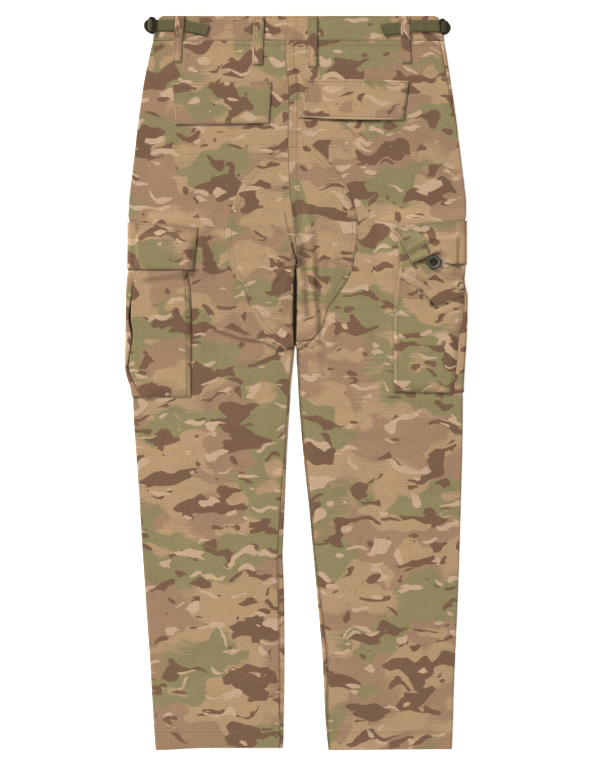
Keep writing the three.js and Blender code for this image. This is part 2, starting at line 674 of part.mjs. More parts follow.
// A rectangle with rounded corners, whose two right ones may be rounder.
function roundedRectangle(shape, left, bottom, width, height, radius, rightRadius = radius) {
  const [right, top] = [left + width, bottom + height];
  shape.moveTo(left + radius, bottom);
  shape.lineTo(right - rightRadius, bottom);
  shape.absarc(right - rightRadius, bottom + rightRadius, rightRadius, -Math.PI / 2, 0);
  shape.lineTo(right, top - rightRadius);
  shape.absarc(right - rightRadius, top - rightRadius, rightRadius, 0, Math.PI / 2);
  shape.lineTo(left + radius, top);
  shape.absarc(left + radius, top - radius, radius, Math.PI / 2, Math.PI);
  shape.lineTo(left, bottom + radius);
  shape.absarc(left + radius, bottom + radius, radius, Math.PI, Math.PI * 1.5);
  return shape;
}

function addBuckles() {
  for (const [leg, strap] of Object.entries(SIDE_STRAPS)) {
    const frame = roundedRectangle(new THREE.Shape(), 0, -BUCKLE_LENGTH / 2, BUCKLE_WIDTH, BUCKLE_LENGTH, 2, BUCKLE_CORNER);
    const slot = (BUCKLE_WIDTH - 3 * BUCKLE_BAR) / 2;
    const slotLength = BUCKLE_LENGTH - 2 * BUCKLE_BAR;
    for (const left of [BUCKLE_BAR, 2 * BUCKLE_BAR + slot]) {
      frame.holes.push(roundedRectangle(new THREE.Path(), left, -slotLength / 2, slot, slotLength, 0.8));
    }
    const options = { depth: BUCKLE_THICK, bevelEnabled: false, curveSegments: 3 };
    const geometry = new THREE.ExtrudeGeometry(frame, options);
    geometry.translate(0, 0, -BUCKLE_THICK / 2);
    const mesh = addPart(`slide_buckle_${leg}`, geometry, "plastic");
    mesh.position.set(strap.sideX, strap.y, BUCKLE_Z);
    mesh.rotation.z = strap.out < 0 ? Math.PI : 0;
  }
}

// Cargo pockets with their flaps and the button that shows

// How far the pocket's back half stands off the leg: sewn down at its inner and lower edges, open at the pleat.
function pocketPuff(pocket, x, y) {
  const inner = Math.abs(x - along(pocket.inner, "x", y));
  const pleat = Math.abs(along(pocket.pleat, "x", y) - x);
  const atBottom = ramp(0, 12, y - pocket.bottom);
  const nearPleat = 1 - ramp(12, 26, pleat);
  return POCKET_PUFF * ramp(0, 8, inner) * Math.max(atBottom, nearPleat);
}

function pocketSide(pocket, y) {
  const { out } = pocket;
  const legX = out < 0 ? leftEdge(y) : rightEdge(y);
  const sideX = along(pocket.side, "x", y) - (out * CLOTH) / 2;
  const x = out * Math.max(out * (legX + out * STEP), out * sideX);
  const low = (px, py) => CLOTH / 2 + lifts(px, py).flap;
  const high = (px, py) => backFace(px, py) + LAYER_GAP + CLOTH / 2;
  return { x, out, radius: FOLD_RADIUS + STEP, low, high };
}

function addCargoPockets() {
  const heights = [POCKET_TOP, 190, 175, 162, 148, 136, 124, 94, 68, 50, 33, 19, 7.5, -4];
  for (const [leg, pocket] of Object.entries(CARGO_POCKETS)) {
    const stops = [...heights, pocket.bottom].reverse();
    const backGrid = stops.map((y) => {
      const inner = along(pocket.inner, "x", y);
      const pleat = along(pocket.pleat, "x", y);
      return [0, 0.09, 0.3, 0.5, 0.7, 0.84, 1].map((share) => {
        const x = between(inner, pleat, share);
        return { x, y, z: backFace(x, y) + LAYER_GAP + CLOTH / 2 + pocketPuff(pocket, x, y) };
      });
    });
    addPart(`cargo_pocket_back_${leg}`, wall(backGrid), "cloth");
    const frontGrid = stops.map((y) => {
      const side = pocketSide(pocket, y);
      const turn = Math.PI * side.radius;
      const start = along(pocket.pleat, "x", y) - pocket.out * POCKET_TUCK;
      const first = turn + Math.abs(side.x - start) - side.radius;
      const path = [first, (first + turn) / 2, ...[1, 0.8, 0.6, 0.4, 0.2, 0].map((share) => share * turn)];
      path.push(-45, -(POCKET_FRONT_DEPTH - side.radius));
      return path.map((s) => roundSide(side, s, y));
    });
    addPart(`cargo_pocket_front_${leg}`, wall(frontGrid), "cloth");
  }
}

// How far a cargo flap stands off the leg: over the pocket below its top edge, flat above it.
function flapPuff(pocket, x, y) {
  const overInner = ramp(-4, 6, pocket.out * (x - along(pocket.inner, "x", Math.min(y, POCKET_TOP))));
  const overTop = 1 - ramp(POCKET_TOP + 2, POCKET_TOP + 14, y);
  const atPleat = ramp(-4, -1, pocket.out * (along(pocket.pleat, "x", y) - x));
  const overBack = STEP + POCKET_PUFF + 0.4;
  const overFront = STEP;
  return between(overFront, overBack, atPleat) * overInner * overTop + overFront * (1 - overTop) * (1 - atPleat);
}

function flapSide(pocket, y) {
  const { out } = pocket;
  const x = pocketSide(pocket, Math.max(y, 165)).x + out * STEP;
  const low = () => CLOTH / 2;
  const high = (px, py) => backFace(px, py) + LAYER_GAP + CLOTH / 2 + STEP;
  return { x, out, radius: FOLD_RADIUS + 2 * STEP, low, high };
}

function addCargoFlaps() {
  for (const [leg, table] of Object.entries(CARGO_FLAPS)) {
    const pocket = CARGO_POCKETS[leg];
    const column = (name, share) => along(table.map((row) => ({ ...row, y: row.share })), name, share);
    const grid = [0, 0.14, 0.3, 0.45, 0.7, 1].map((down) => {
      const seen = [0, 0.1, 0.2, 0.35, 0.5, 0.65, 0.8, 0.955, 1].map((share) => {
        const x = between(column("upperX", share), column("lowerX", share), down);
        const y = between(column("upperY", share), column("lowerY", share), down);
        return { x, y, z: backFace(x, y) + LAYER_GAP + CLOTH / 2 + flapPuff(pocket, x, y), nx: 0, nz: 1 };
      });
      const y = seen.at(-1).y;
      const side = flapSide(pocket, y);
      const turn = Math.PI * side.radius;
      const path = [1, 0.8, 0.6, 0.4, 0.2, 0].map((share) => share * turn);
      path.push(-45, -(POCKET_FRONT_DEPTH + 2 - side.radius));
      return [...seen, ...path.map((s) => roundSide(side, s, y))];
    });
    addPart(`cargo_flap_${leg}`, wall(grid), "cloth");
  }
}

function addButton() {
  const profile = [
    [0, 0],
    [BUTTON_RADIUS - 2, 0],
    [BUTTON_RADIUS, 1],
    [BUTTON_RADIUS, 2.2],
    [BUTTON_RADIUS - 1, 2.9],
    [BUTTON_RADIUS - 2.6, 2.9],
    [BUTTON_RADIUS - 4, 1.9],
    [0, 1.9],
  ].map(([radius, z]) => new THREE.Vector2(radius, z));
  const { x, y } = BUTTON_PLACE;
  const pocket = CARGO_POCKETS.right;
  const mesh = addPart("cargo_button", new THREE.LatheGeometry(profile, 24), "button");
  mesh.rotation.x = Math.PI / 2;
  mesh.position.set(x, y, backFace(x, y) + LAYER_GAP + CLOTH + pocketPuff(pocket, x, y) + SEAM_GAP);
}

addLegs();
addSeatPatches();
addHipFlaps();
addPlacket();
addWaistband();
addBeltLoops();
addSideStraps();
addBuckles();
addCargoPockets();
addCargoFlaps();
addButton();

export default group;
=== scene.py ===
# Cargo pants in printed ripstop, laid flat with the back side up.
# Places and sizes are in millimetres until a mesh is made; +Y is towards the waistband and +Z is up.
import math

import bmesh
import bpy
import numpy as np
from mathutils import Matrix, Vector


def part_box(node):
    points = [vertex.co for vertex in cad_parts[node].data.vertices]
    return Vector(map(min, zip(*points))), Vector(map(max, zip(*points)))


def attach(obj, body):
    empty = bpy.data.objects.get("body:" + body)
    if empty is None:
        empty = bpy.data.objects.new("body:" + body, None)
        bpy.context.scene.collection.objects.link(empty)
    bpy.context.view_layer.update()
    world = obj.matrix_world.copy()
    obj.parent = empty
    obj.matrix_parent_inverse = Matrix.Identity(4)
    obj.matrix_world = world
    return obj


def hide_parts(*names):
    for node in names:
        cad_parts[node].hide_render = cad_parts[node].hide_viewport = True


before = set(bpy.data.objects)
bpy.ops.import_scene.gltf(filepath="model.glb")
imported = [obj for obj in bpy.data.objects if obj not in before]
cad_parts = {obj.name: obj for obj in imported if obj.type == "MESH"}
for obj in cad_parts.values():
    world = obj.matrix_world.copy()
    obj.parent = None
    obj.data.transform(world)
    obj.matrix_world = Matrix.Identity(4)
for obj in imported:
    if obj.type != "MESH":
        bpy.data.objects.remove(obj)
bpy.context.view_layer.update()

MM = 0.001

# Sizes of the pants
CLOTH = 1.2
LAYER_GAP = 0.5
SEAM_GAP = 0.3
FOLD_RADIUS = 1.4
HEM_DEPTH = 28
FELL_WIDTH = 13
OUTSEAM_OVER = 4.5
PATCH_INSET = 0.3
BAND_CLOTH = 2
BAND_RADIUS = 1.3
BAND_BOTTOM = 496
BAND_TOP = 532.5
LEG_BOTTOM = -532.5
CROTCH_Y = 175
CENTRE_FRONT_X = 2
PLACKET_WIDTH = 40
PLACKET_BOTTOM = 320
POCKET_FRONT_DEPTH = 90
POCKET_TUCK = 8
POCKET_PUFF = 2.2
POCKET_LIFT_REACH = 105
LIFT_RAMP = 20
POCKET_TOP = 205
WEBBING = 1.3
WEBBING_WIDTH = 16.4
STEP = CLOTH + LAYER_GAP
TURN = math.pi * FOLD_RADIUS
LEG_TOP = 2 * CLOTH + 2 * (FOLD_RADIUS - CLOTH / 2)
BAND_FACE = BAND_CLOTH + 2 * BAND_RADIUS
STITCH_PITCH = 3.1
STITCH_LENGTH = 2.4
STITCH_WIDTH = 0.6
STITCH_HEIGHT = 0.32
# How far the rows of stitches lie from the edges
HEM_ROW = 2
SEAM_ROW = 6.5
BAND_TOP_ROW = 2.6
BAND_LOW_ROW = 2.2
PATCH_ROWS = (2.2, 8)
POCKET_INNER_ROW = 6.6
EDGE_ROW = 2.4
LOOP_ROW = 2.6
PARTING = (47, 56)  # the height at which the thighs part, from the lower end of the crevice to its full dark

# The outline of the legs: height, left leg's outer and inner edge, right leg's inner and outer edge
OUTLINE = [
    (532.5, -198.8, None, None, 206.5),
    (503, -206.8, None, None, 213.8),
    (496, -208.1, None, None, 214.8),
    (480, -212, None, None, 217.7),
    (439, -220.6, None, None, 223.9),
    (381, -229.3, None, None, 232.4),
    (345, -233.4, None, None, 236.5),
    (323, -236, None, None, 239.2),
    (304, -238.3, None, None, 241.4),
    (286, -240.6, None, None, 243.8),
    (268, -242.6, None, None, 246.2),
    (250, -243.4, None, None, 246.6),
    (241, -243.8, None, None, 246),
    (231, -241.8, None, None, 243.7),
    (200, -241, None, None, 243.4),
    (175, -240.2, -0.1, 1.5, 243),
    (150, -240.8, None, None, 242.5),
    (120, -241, -0.8, 1.1, 243.6),
    (62, -240.2, -1.6, 0.8, 243.2),
    (47.5, None, -2.8, 0.4, None),
    (30, -239.8, -4.2, 0.6, 242.7),
    (0, -237.6, -7.2, 2.2, 241.5),
    (-25, -237, -8.9, 3.4, 241.6),
    (-60, -235.5, -11.1, 6.2, 241.6),
    (-112, -231.8, -14.2, 10.8, 240.6),
    (-165, -228.1, -16.3, 16.6, 239.1),
    (-199, -226, -17.7, 20.1, 238.2),
    (-225, -224.5, -18.9, 22.2, 237.3),
    (-248, -223.1, -20, 24.4, 236.8),
    (-272, -221.3, -19, 26.7, 236),
    (-310, -218.9, -17.7, 30.1, 234.5),
    (-365, -215.1, -17.1, 35.2, 232.1),
    (-402, -212.5, -17.1, 38, 230.4),
    (-440, -210.2, -17.3, 39.9, 228.9),
    (-489, -207.3, -18.2, 42.1, 227.6),
    (-515, -205.6, -18.6, 44.4, 226.5),
    (-532.5, -204.2, -19.3, 46.4, 225.6),
]
CENTRE_BACK = [
    (532.5, -11.4),
    (500, -15.2),
    (464, -15.4),
    (441, -11.8),
    (413, -10.6),
    (345, -11.6),
    (279, -9.1),
    (236, -4),
    (192, 0.7),
    (175, 0.7),
]
# Under the crotch the legs press together along this line: height and x
PRESSED = [(175, -0.4), (120, -1.3), (62, -1.7), (50, -1.1)]
PRESSED_OVER = 0.25
# Where the front panels end on the back: height, and the way along the cloth past the side
RIGHT_OUTSEAM = [
    (500, TURN + OUTSEAM_OVER),
    (468, TURN + OUTSEAM_OVER * 0.8),
    (417, TURN + OUTSEAM_OVER * 0.35),
    (366, TURN * 0.5),
    (320, 0.5),
    (-540, 0.5),
]
INSEAM = {
    "left": [
        (175, 0.6), (-62, 0.6), (-112, 1), (-170, 3.6), (-246, 4.8), (-290, 6), (-375, 5.1), (-460, 3.5),
        (-540, 2.4),
    ],
    "right": [
        (175, 0.6), (-230, 0.6), (-290, 1.8), (-350, 3.6), (-388, 5.2), (-415, 4.4), (-485, 1.4),
        (-515, 0.6), (-540, 0.6),
    ],
}

# Folds and creases of the back: from x, y, to x, y, height (a trough is less than 0) and half width
FOLDS = [
    (17, 246, 24, 150, 1.7, 7),
    (24, 150, 32, 20, 1.7, 8),
    (44, 200, 50, 40, 0.9, 9),
    (-14, 170, -52, 112, 0.7, 12),
    (-10, 62, -60, 40, 0.6, 13),
    (16, 44, 66, -8, 0.7, 16),
    (-40, -60, -150, -95, 0.6, 22),
    (60, -75, 170, -50, 0.6, 22),
    (-120, -230, -50, -300, 0.5, 26),
    (90, -260, 190, -330, 0.5, 26),
    (-150, 330, -60, 300, 0.5, 20),
    (110, 300, 190, 330, 0.5, 20),
]
CREASES = [
    (-1, 252, 9, 190, -0.9, 3.6),
    (9, 190, 13, 140, -0.8, 3.6),
    (31, 162, 36, 76, -0.7, 4.5),
    (0, 450, 11, 395, -0.5, 3.4),
    (6, 450, 17, 400, 0.35, 3.4),
    (-9, 372, 5, 366, 0.5, 2.2),
    (-10, 362, 6, 360, -0.5, 2.2),
    (-9, 354, 7, 352, 0.4, 2.4),
    (44, 190, 46, 110, -0.35, 4.5),
    (53, 230, 57, 160, 0.3, 6),
    (4, 62, 27, 54, -0.6, 2.4),
    (8, 55, 30, 60, 0.45, 2.6),
    (3, 46, 24, 50, -0.5, 2.4),
    (6, 39, 30, 42, 0.35, 3.2),
    (-12, 176, -34, 160, -0.5, 3.4),
    (-8, 168, -30, 142, -0.45, 3.2),
    (-10, 160, -22, 118, 0.4, 4),
    (-3, 150, -14, 96, -0.35, 3.6),
    (-18, 196, -52, 186, 0.35, 5),
    (-16, 214, -60, 226, -0.3, 5),
    (-22, 250, -70, 268, 0.25, 7),
    (18, 300, 60, 292, 0.25, 7),
    (-4, 74, -44, 92, -0.45, 3.6),
    (-6, 50, -41, 57, 0.6, 3),
    (-41, 57, -78, 69, 0.45, 3.6),
    (-78, 69, -118, 75, 0.3, 4.5),
    (-8, 44, -44, 51, -0.45, 3),
    (-8, 44, -90, 20, -0.3, 6),
    (12, 22, 60, 2, -0.35, 5),
    (16, 0, 74, -34, 0.3, 6),
    (-14, -22, -86, -52, 0.3, 7),
    (-30, -70, -120, -76, -0.3, 7),
    (-60, -106, -190, -122, 0.35, 9),
    (-34, -150, -96, -168, -0.25, 7),
    (-110, -160, -206, -150, -0.3, 9),
    (-46, -206, -150, -232, 0.3, 10),
    (-150, -250, -206, -290, -0.25, 9),
    (-40, -330, -110, -352, 0.25, 9),
    (-100, -392, -190, -384, -0.25, 10),
    (-50, -430, -140, -448, 0.25, 10),
    (30, -60, 110, -84, -0.3, 7),
    (90, -104, 210, -120, 0.35, 9),
    (40, -142, 120, -168, 0.3, 8),
    (130, -170, 226, -158, -0.3, 9),
    (50, -214, 130, -240, -0.25, 9),
    (120, -262, 224, -240, 0.3, 10),
    (60, -310, 150, -336, 0.3, 10),
    (110, -372, 220, -356, -0.25, 10),
    (60, -420, 140, -446, 0.25, 9),
    (120, -470, 210, -456, -0.2, 9),
    (-60, -486, -170, -476, 0.2, 9),
    (-200, 470, -150, 462, -0.25, 7),
    (-130, 476, -60, 470, 0.2, 8),
    (40, 474, 120, 466, -0.2, 8),
    (170, 470, 208, 452, 0.25, 7),
    (-224, 372, -186, 352, 0.25, 8),
    (-170, 350, -70, 342, -0.2, 9),
    (-200, 300, -120, 270, 0.3, 10),
    (-150, 262, -110, 248, -0.25, 7),
    (60, 352, 150, 356, 0.2, 9),
    (170, 362, 226, 340, -0.25, 8),
    (110, 286, 160, 262, -0.25, 8),
    (200, 286, 236, 262, 0.25, 8),
    (-140, 120, -96, 86, 0.3, 8),
    (-136, 70, -100, 30, -0.25, 7),
    (-140, 0, -80, -14, 0.25, 8),
    (96, 120, 132, 96, -0.25, 7),
    (88, 60, 132, 40, 0.3, 8),
    (70, 16, 130, 4, -0.25, 7),
]
# Where a fold or a tuck keeps the light out: from x, y, to x, y, darkness (less than 0 is pale), half width
FOLD_SHADES = [
    (3, 49, 14, 54, 0.6, 1.3),
    (14, 54, 24, 50, 0.6, 1.3),
    (24, 50, 33, 56, 0.4, 1.3),
    (-10, 366, 5, 363, 0.3, 1.2),
    (-9, 357, 6, 356, 0.3, 1.2),
]
# Painted shade along dark lines and soft valleys round the crotch: points, darkness and reach
SEAT_SHADOWS = [
    ([(0, 250), (2.5, 237), (8, 205), (12, 182)], 0.45, 4.6),
    ([(9, 200), (12, 182), (13.6, 150), (13.6, 120), (15.5, 100)], 0.72, 5.4),
    ([(28.5, 188), (28.5, 165), (27.2, 131), (33, 98), (34, 62)], 0.62, 4.4),
    ([(-17, 246), (-12, 222), (-7.6, 204)], 0.6, 1.8),
    (
        [(-6.4, 202), (-3.8, 190.7), (-1.1, 181.3), (0.8, 173.9), (-0.8, 166.4), (-2.5, 163), (-1.8, 150)],
        1.0, 2.6
    ),
    ([(-3.4, 190.7), (-6.2, 184.6), (-5.8, 179.6), (-2.6, 180)], 0.9, 1.3),
    ([(-6, 51), (-16, 47), (-25.4, 46.5), (-34, 52), (-45, 58), (-79.4, 62.7), (-118, 76)], 0.85, 2.7),
]
# Painted highlights along lit ridges round the crotch: points, strength and reach
SEAT_HIGHLIGHTS = [
    ([(-12, 164.4), (-7, 161.8), (-3.8, 163.9)], 0.8, 1.1),
    ([(-19.5, 246), (-14.5, 222), (-9.6, 203), (-6.8, 192)], 0.45, 1.4),
    ([(-34, 57), (-45, 62.5), (-79.4, 67.5)], 0.45, 2.0),
]
# Painted shade in the cargo pockets' folds: from x, y, to x, y, darkness (less than 0 is a painted
# highlight), half width
POCKET_SHADES = {
    "left": [
        (-220, 147, -163, 154, 0.1, 3),
        (-162, 160, -176, 162, 0.3, 1.6),
    ],
    "right": [
        (151, 164, 188, 144, 0.55, 1.6),
        (188, 144, 194, 136, 0.5, 1.6),
        (154, 150, 182, 133, 0.5, 1.7),
        (182, 133, 198, 114, 0.5, 1.8),
        (188, 124, 203, 108.5, 0.5, 1.7),
        (203, 108.5, 219, 115, 0.5, 1.7),
        (219, 115, 243, 125, 0.4, 1.8),
        (216, 152, 238, 148, 0.5, 1.6),
        (158, 160, 192, 148, -0.4, 2.2),
        (160, 141, 192, 120, -0.4, 2.8),
        (150, 158, 178, 139, -0.35, 2.4),
        (206, 101, 238, 110, -0.3, 3),
        (142, -12, 176, -12.5, 0.4, 1.6),
    ],
}
# Creases of the right cargo pocket, which sags under its turned-up flap, and of the left one
POCKET_CREASES = {
    "left": [
        (-219, 152, -161, 161, 0.8, 4),
        (-222, 143, -163, 151, -0.35, 4),
        (-158, 163, -152, 150, -0.8, 2.6),
        (-200, 120, -160, 100, 0.2, 7),
        (-220, 60, -170, 40, -0.2, 8),
        (-226, 20, -200, -2, 0.3, 6),
    ],
    "right": [
        (150, 165, 188, 144.5, -1.0, 2.8),
        (188, 144.5, 194, 137, -0.8, 2.8),
        (153, 171, 192, 150, 0.7, 3.6),
        (154, 150, 182, 133, -0.9, 3),
        (182, 133, 198, 114.5, -0.9, 3),
        (160, 156, 190, 138, 0.6, 3.4),
        (150, 138, 178, 116, 0.5, 4.5),
        (188, 124, 203, 108.5, -0.9, 3.2),
        (203, 108.5, 218, 114.5, -0.8, 3),
        (218, 114.5, 246, 125, -0.7, 3.2),
        (196, 126, 212, 118, 0.7, 4.5),
        (206, 101, 240, 112, 0.5, 4.5),
        (214, 156, 240, 150, -0.6, 3),
        (226, 140, 240, 148, 0.7, 3.4),
        (160, 80, 220, 70, 0.25, 9),
        (150, 20, 190, 30, -0.25, 8),
        (146, -6, 186, -8, 0.4, 3),
    ],
}
SEAT_PATCH = {
    "left": [
        (342, -15.5),
        (323, -46.8),
        (291, -77.2),
        (245, -96.1),
        (224, -102),
        (190, -100.4),
        (155, -90.3),
        (136, -77.2),
        (99, -63.3),
        (71, -42.4),
        (49, -12),
    ],
    "right": [
        (344.5, 22.3),
        (326, 43.1),
        (303, 63.4),
        (270, 80.1),
        (242, 88.1),
        (210, 89.2),
        (190, 85.9),
        (159, 79),
        (136, 66.3),
        (108, 46.5),
        (94, 43.1),
        (71, 31.5),
        (49, 9),
    ],
}
# Corners of the hip pocket flaps: upper left, upper right, lower left, lower right
HIP_FLAPS = {
    "left": ((-179.7, 434.6), (-35.5, 436.7), (-175.1, 374.6), (-40.1, 376.6)),
    "right": ((14, 439.5), (163.5, 437.5), (9.8, 384.6), (155.5, 381.6)),
}
CARGO_POCKETS = {
    "left": {
        "out": -1,
        "bottom": -20.5,
        "inner": [(205, -155.5), (160, -158), (139, -154.6), (94, -152.6), (-21, -152.6)],
        "pleat": [
            (205, -228), (165, -230), (143, -236), (94, -239.5), (68, -236.7), (39, -241), (21, -242.5),
            (4, -236), (-21, -224),
        ],
        "side": [
            (233, -243.4),
            (182, -243.4),
            (165, -244.4),
            (150, -245.9),
            (124, -247.5),
            (100, -247.6),
            (55, -248.4),
            (30, -248.6),
            (19, -248),
            (7.5, -245.6),
            (-4, -241.6),
            (-21, -238.6),
        ],
    },
    "right": {
        "out": 1,
        "bottom": -14,
        "inner": [(205, 147), (169, 149.7), (139, 144.2), (94, 141.7), (-15, 141.7)],
        "pleat": [
            (205, 231),
            (165, 231),
            (154, 232),
            (147, 241),
            (134, 243.6),
            (105, 243),
            (85, 240),
            (66, 235.6),
            (30, 232.5),
            (-7, 228.6),
            (-15, 228),
        ],
        "side": [
            (233, 245.6),
            (165, 245.6),
            (150, 244.4),
            (140, 245.4),
            (130, 248.2),
            (118, 248.8),
            (100, 248.5),
            (78, 247.9),
            (55, 246.9),
            (30, 245.2),
            (-4, 243.1),
            (-15, 242.4),
        ],
    },
}
# Cargo flaps: share of the way from the inner edge to the side, upper x and y, lower x and y
CARGO_FLAPS = {
    "left": [
        (0, -142.5, 225, -150.1, 163.8),
        (0.5, -181.6, 229.6, -186, 164.1),
        (1, -234, 232.5, -234, 164.8),
    ],
    "right": [
        (0, 141.7, 224.4, 168.6, 173),
        (0.25, 166, 228.5, 187, 181),
        (0.5, 190, 232, 206, 188.5),
        (0.75, 212, 233.8, 216, 174),
        (1, 237, 234.6, 237, 171),
    ],
}
# Belt loops: top y, x there, bottom y, x there, width, how far it stands off the band
BELT_LOOPS = {
    "belt_loop_1": (532, -168.2, 465.1, -174, 13, 2),
    "belt_loop_2": (532, -54.2, 461.3, -56, 15.4, 0.7),
    "belt_loop_3": (532, 23.9, 457.8, 23.5, 14.2, 0.7),
    "belt_loop_4": (531, 157.8, 463.6, 160.2, 13.6, 2),
}
# The webbing's way through its buckle: how far out from the waistband's side, and height
WEBBING_ROUTE = [
    (-38, 5.55),
    (-14, 5.55),
    (-2, 5.55),
    (1.3, 5.55),
    (3.2, 6.1),
    (4.4, 7.4),
    (5, 9),
    (6.4, 10),
    (8, 10.3),
    (9.6, 10),
    (11, 9),
    (11.5, 7.2),
    (11.3, 5.2),
    (10.2, 4.1),
    (8.4, 3.7),
    (7, 3.6),
    (5.8, 3.6),
]
# dark is painted shade on the webbing inside its buckle
SIDE_STRAPS = {
    "left": {
        "out": -1, "side_x": -204, "y": 518.4, "tail_x": -128.3, "tail_y": 511, "slant": 5, "gather": 1.06,
        "drop": 0.6, "dark": 0.35,
    },
    "right": {
        "out": 1, "side_x": 207.4, "y": 517.6, "tail_x": 124.9, "tail_y": 511, "slant": -5.5, "gather": 1.0,
        "drop": 2.2, "dark": 0.95,
    },
}

# The slide buckles' round frames, as corners of a smooth loop: x, y, height and radius
BUCKLE_LOOPS = {
    "left": [
        (-218.6, 518.4, 8.0, 2.8),
        (-217.0, 523.2, 8.0, 2.3),
        (-213.2, 525.0, 8.0, 2.1),
        (-211.2, 529.2, 7.9, 2.2),
        (-204.6, 527.6, 7.8, 2.0),
        (-204.8, 520.6, 7.8, 1.6),
        (-205.6, 514.0, 7.8, 1.6),
        (-206.4, 506.6, 7.8, 2.2),
        (-212.8, 508.6, 7.9, 2.3),
        (-217.4, 513.0, 8.0, 2.6),
    ],
    "right": [
        (222.4, 514.6, 7.9, 2.3),
        (219.6, 508.4, 7.7, 2.2),
        (214.4, 505.6, 7.7, 2.2),
        (210.8, 507.8, 7.7, 2.1),
        (209.6, 513.0, 7.8, 1.8),
        (208.8, 519.0, 7.8, 1.8),
        (208.6, 525.6, 7.9, 2.1),
        (214.0, 526.4, 8.0, 2.1),
        (216.2, 521.0, 8.0, 2.0),
        (220.6, 519.8, 8.0, 2.0),
    ],
}
BUCKLE_BAR_RADIUS = 1.15

# Colours, as they look in the studio's bright light; the dyes themselves are deeper
DYE = 0.8
TAN = (184, 152, 115)
LIGHT_BROWN = (165, 132, 104)
GREEN = (146, 135, 95)
DARK_BROWN = (124, 94, 73)
CREAM = (202, 170, 139)
WEBBING_OLIVE = (102, 94, 62)
THREAD = (148, 121, 90)
BUCKLE_BLACK = (36, 32, 24)
BUTTON_BROWN = (46, 42, 31)
# Painted highlight on the top of the button's rim
BUTTON_RIM_HIGHLIGHT = (112, 110, 92)
HEAVY_YARN = (106, 84, 60)
# The brown of painted shade in creases, folds and under free edges, which also partly darkens stitch lines
PAINTED_SHADE_BROWN = (84, 63, 45)
# The tan of painted highlights on flap edges, raised strips and lit ridges
PAINTED_HIGHLIGHT_TAN = (212, 182, 145)
# The near black of painted deep shade in the crevice between the legs, the pleats' mouths and the curl
PAINTED_DEEP_SHADE = (14, 9, 6)
WEBBING_GROOVE = (74, 68, 42)
WEBBING_FLECK = (126, 118, 84)
WEBBING_SHADE = (44, 41, 28)
THREAD_PALE = (178, 150, 116)
BUCKLE_WORN = (58, 53, 39)
BUTTON_WORN = (70, 62, 44)
# Painted shade at the bottoms of the button's holes
BUTTON_HOLE_SHADE = (12, 11, 8)
BUTTON_THREAD = (84, 74, 50)
BUTTON_THREAD_PALE = (112, 100, 70)


# Lines through tables, and ramps

def between(a, b, share):
    return a + (b - a) * share


def ramp(low, high, value):
    return np.clip((value - low) / (high - low), 0, 1)


def soft(low, high, value):
    t = ramp(low, high, value)
    return t * t * (3 - 2 * t)


def line(rows, y, column=1):
    """The value of a table's column at heights y, on the smooth line through the rows that have it."""
    given = sorted((row[0], row[column]) for row in rows if row[column] is not None)
    ys = np.array([row[0] for row in given], float)
    values = np.array([row[1] for row in given], float)
    place = np.clip(np.asarray(y, float), ys[0], ys[-1])
    last = len(ys) - 1
    k = np.clip(np.searchsorted(ys, place), 1, last)
    before, after = np.maximum(k - 2, 0), np.minimum(k + 1, last)
    slope_a = (values[k] - values[before]) / (ys[k] - ys[before])
    slope_b = (values[after] - values[k - 1]) / (ys[after] - ys[k - 1])
    span = ys[k] - ys[k - 1]
    t = (place - ys[k - 1]) / span
    bend = t * (1 - t) * span * ((1 - t) * slope_a - t * slope_b)
    return between(values[k - 1], values[k], t * t * (3 - 2 * t)) + bend


def left_edge(y):
    return line(OUTLINE, y, 1) + CLOTH / 2


def pressed(y, edge, over):
    """An inner edge's place: just under the crotch the legs press into each other along a line."""
    return between(edge, line(PRESSED, y) + over, ramp(48, 56, y))


def left_inner(y):
    return pressed(y, line(OUTLINE, y, 2), PRESSED_OVER) - CLOTH / 2


def right_inner(y):
    return pressed(y, line(OUTLINE, y, 3), -PRESSED_OVER) + CLOTH / 2


def right_edge(y):
    return line(OUTLINE, y, 4) - CLOTH / 2


def inner_edge(leg, y):
    return left_inner(y) if leg == "left" else right_inner(y)


def outer_edge(leg, y):
    return left_edge(y) if leg == "left" else right_edge(y)


def centre_back(y):
    return line(CENTRE_BACK, y)


# The form of the back

def lifts(x, y):
    """How far a cargo pocket's front half, and its flap, hold the leg up."""
    reach = np.where(x < 0, x - left_edge(y), right_edge(y) - x)
    across = 1 - ramp(POCKET_LIFT_REACH, POCKET_LIFT_REACH + LIFT_RAMP, reach)
    pocket = ramp(-44, -24, y) * (1 - ramp(236, 256, y))
    flap = ramp(148, 162, y) * (1 - ramp(236, 250, y))
    return STEP * across * pocket, STEP * across * flap


def lift(x, y):
    pocket, flap = lifts(x, y)
    return pocket + flap


def crests(folds, x, y):
    """The summed height of folds, each with soft sides and ends."""
    height = np.zeros(np.broadcast(x, y).shape)
    for from_x, from_y, to_x, to_y, tall, half in folds:
        run_x, run_y = to_x - from_x, to_y - from_y
        length = math.hypot(run_x, run_y)
        share = ((x - from_x) * run_x + (y - from_y) * run_y) / length**2
        off = ((x - from_x) * run_y - (y - from_y) * run_x) / length
        past = np.maximum(0, np.maximum(-share, share - 1)) * length
        height += tall * np.exp(-(past**2) / (2 * half**2)) * np.exp(-((off / half) ** 2))
    return height


def swell(x, y, seed, length, count=8):
    """A soft uneven surface about one high, with waves of about that length."""
    draw = np.random.default_rng(seed)
    total = np.zeros(np.broadcast(x, y).shape)
    for _ in range(count):
        angle, wave, phase = (
            draw.uniform(0, math.pi), length * draw.uniform(0.6, 1.5), draw.uniform(0, 2 * math.pi)
        )
        total += np.sin(2 * math.pi * (x * math.cos(angle) + y * math.sin(angle)) / wave + phase)
    return total / math.sqrt(count)


def hollow(height):
    """The painted shade in a crease, from its depth."""
    return 0.3 * np.clip(-height - 0.15, 0, 1)


def fine_creases(x, y):
    return 1.5 * crests(CREASES, x, y)


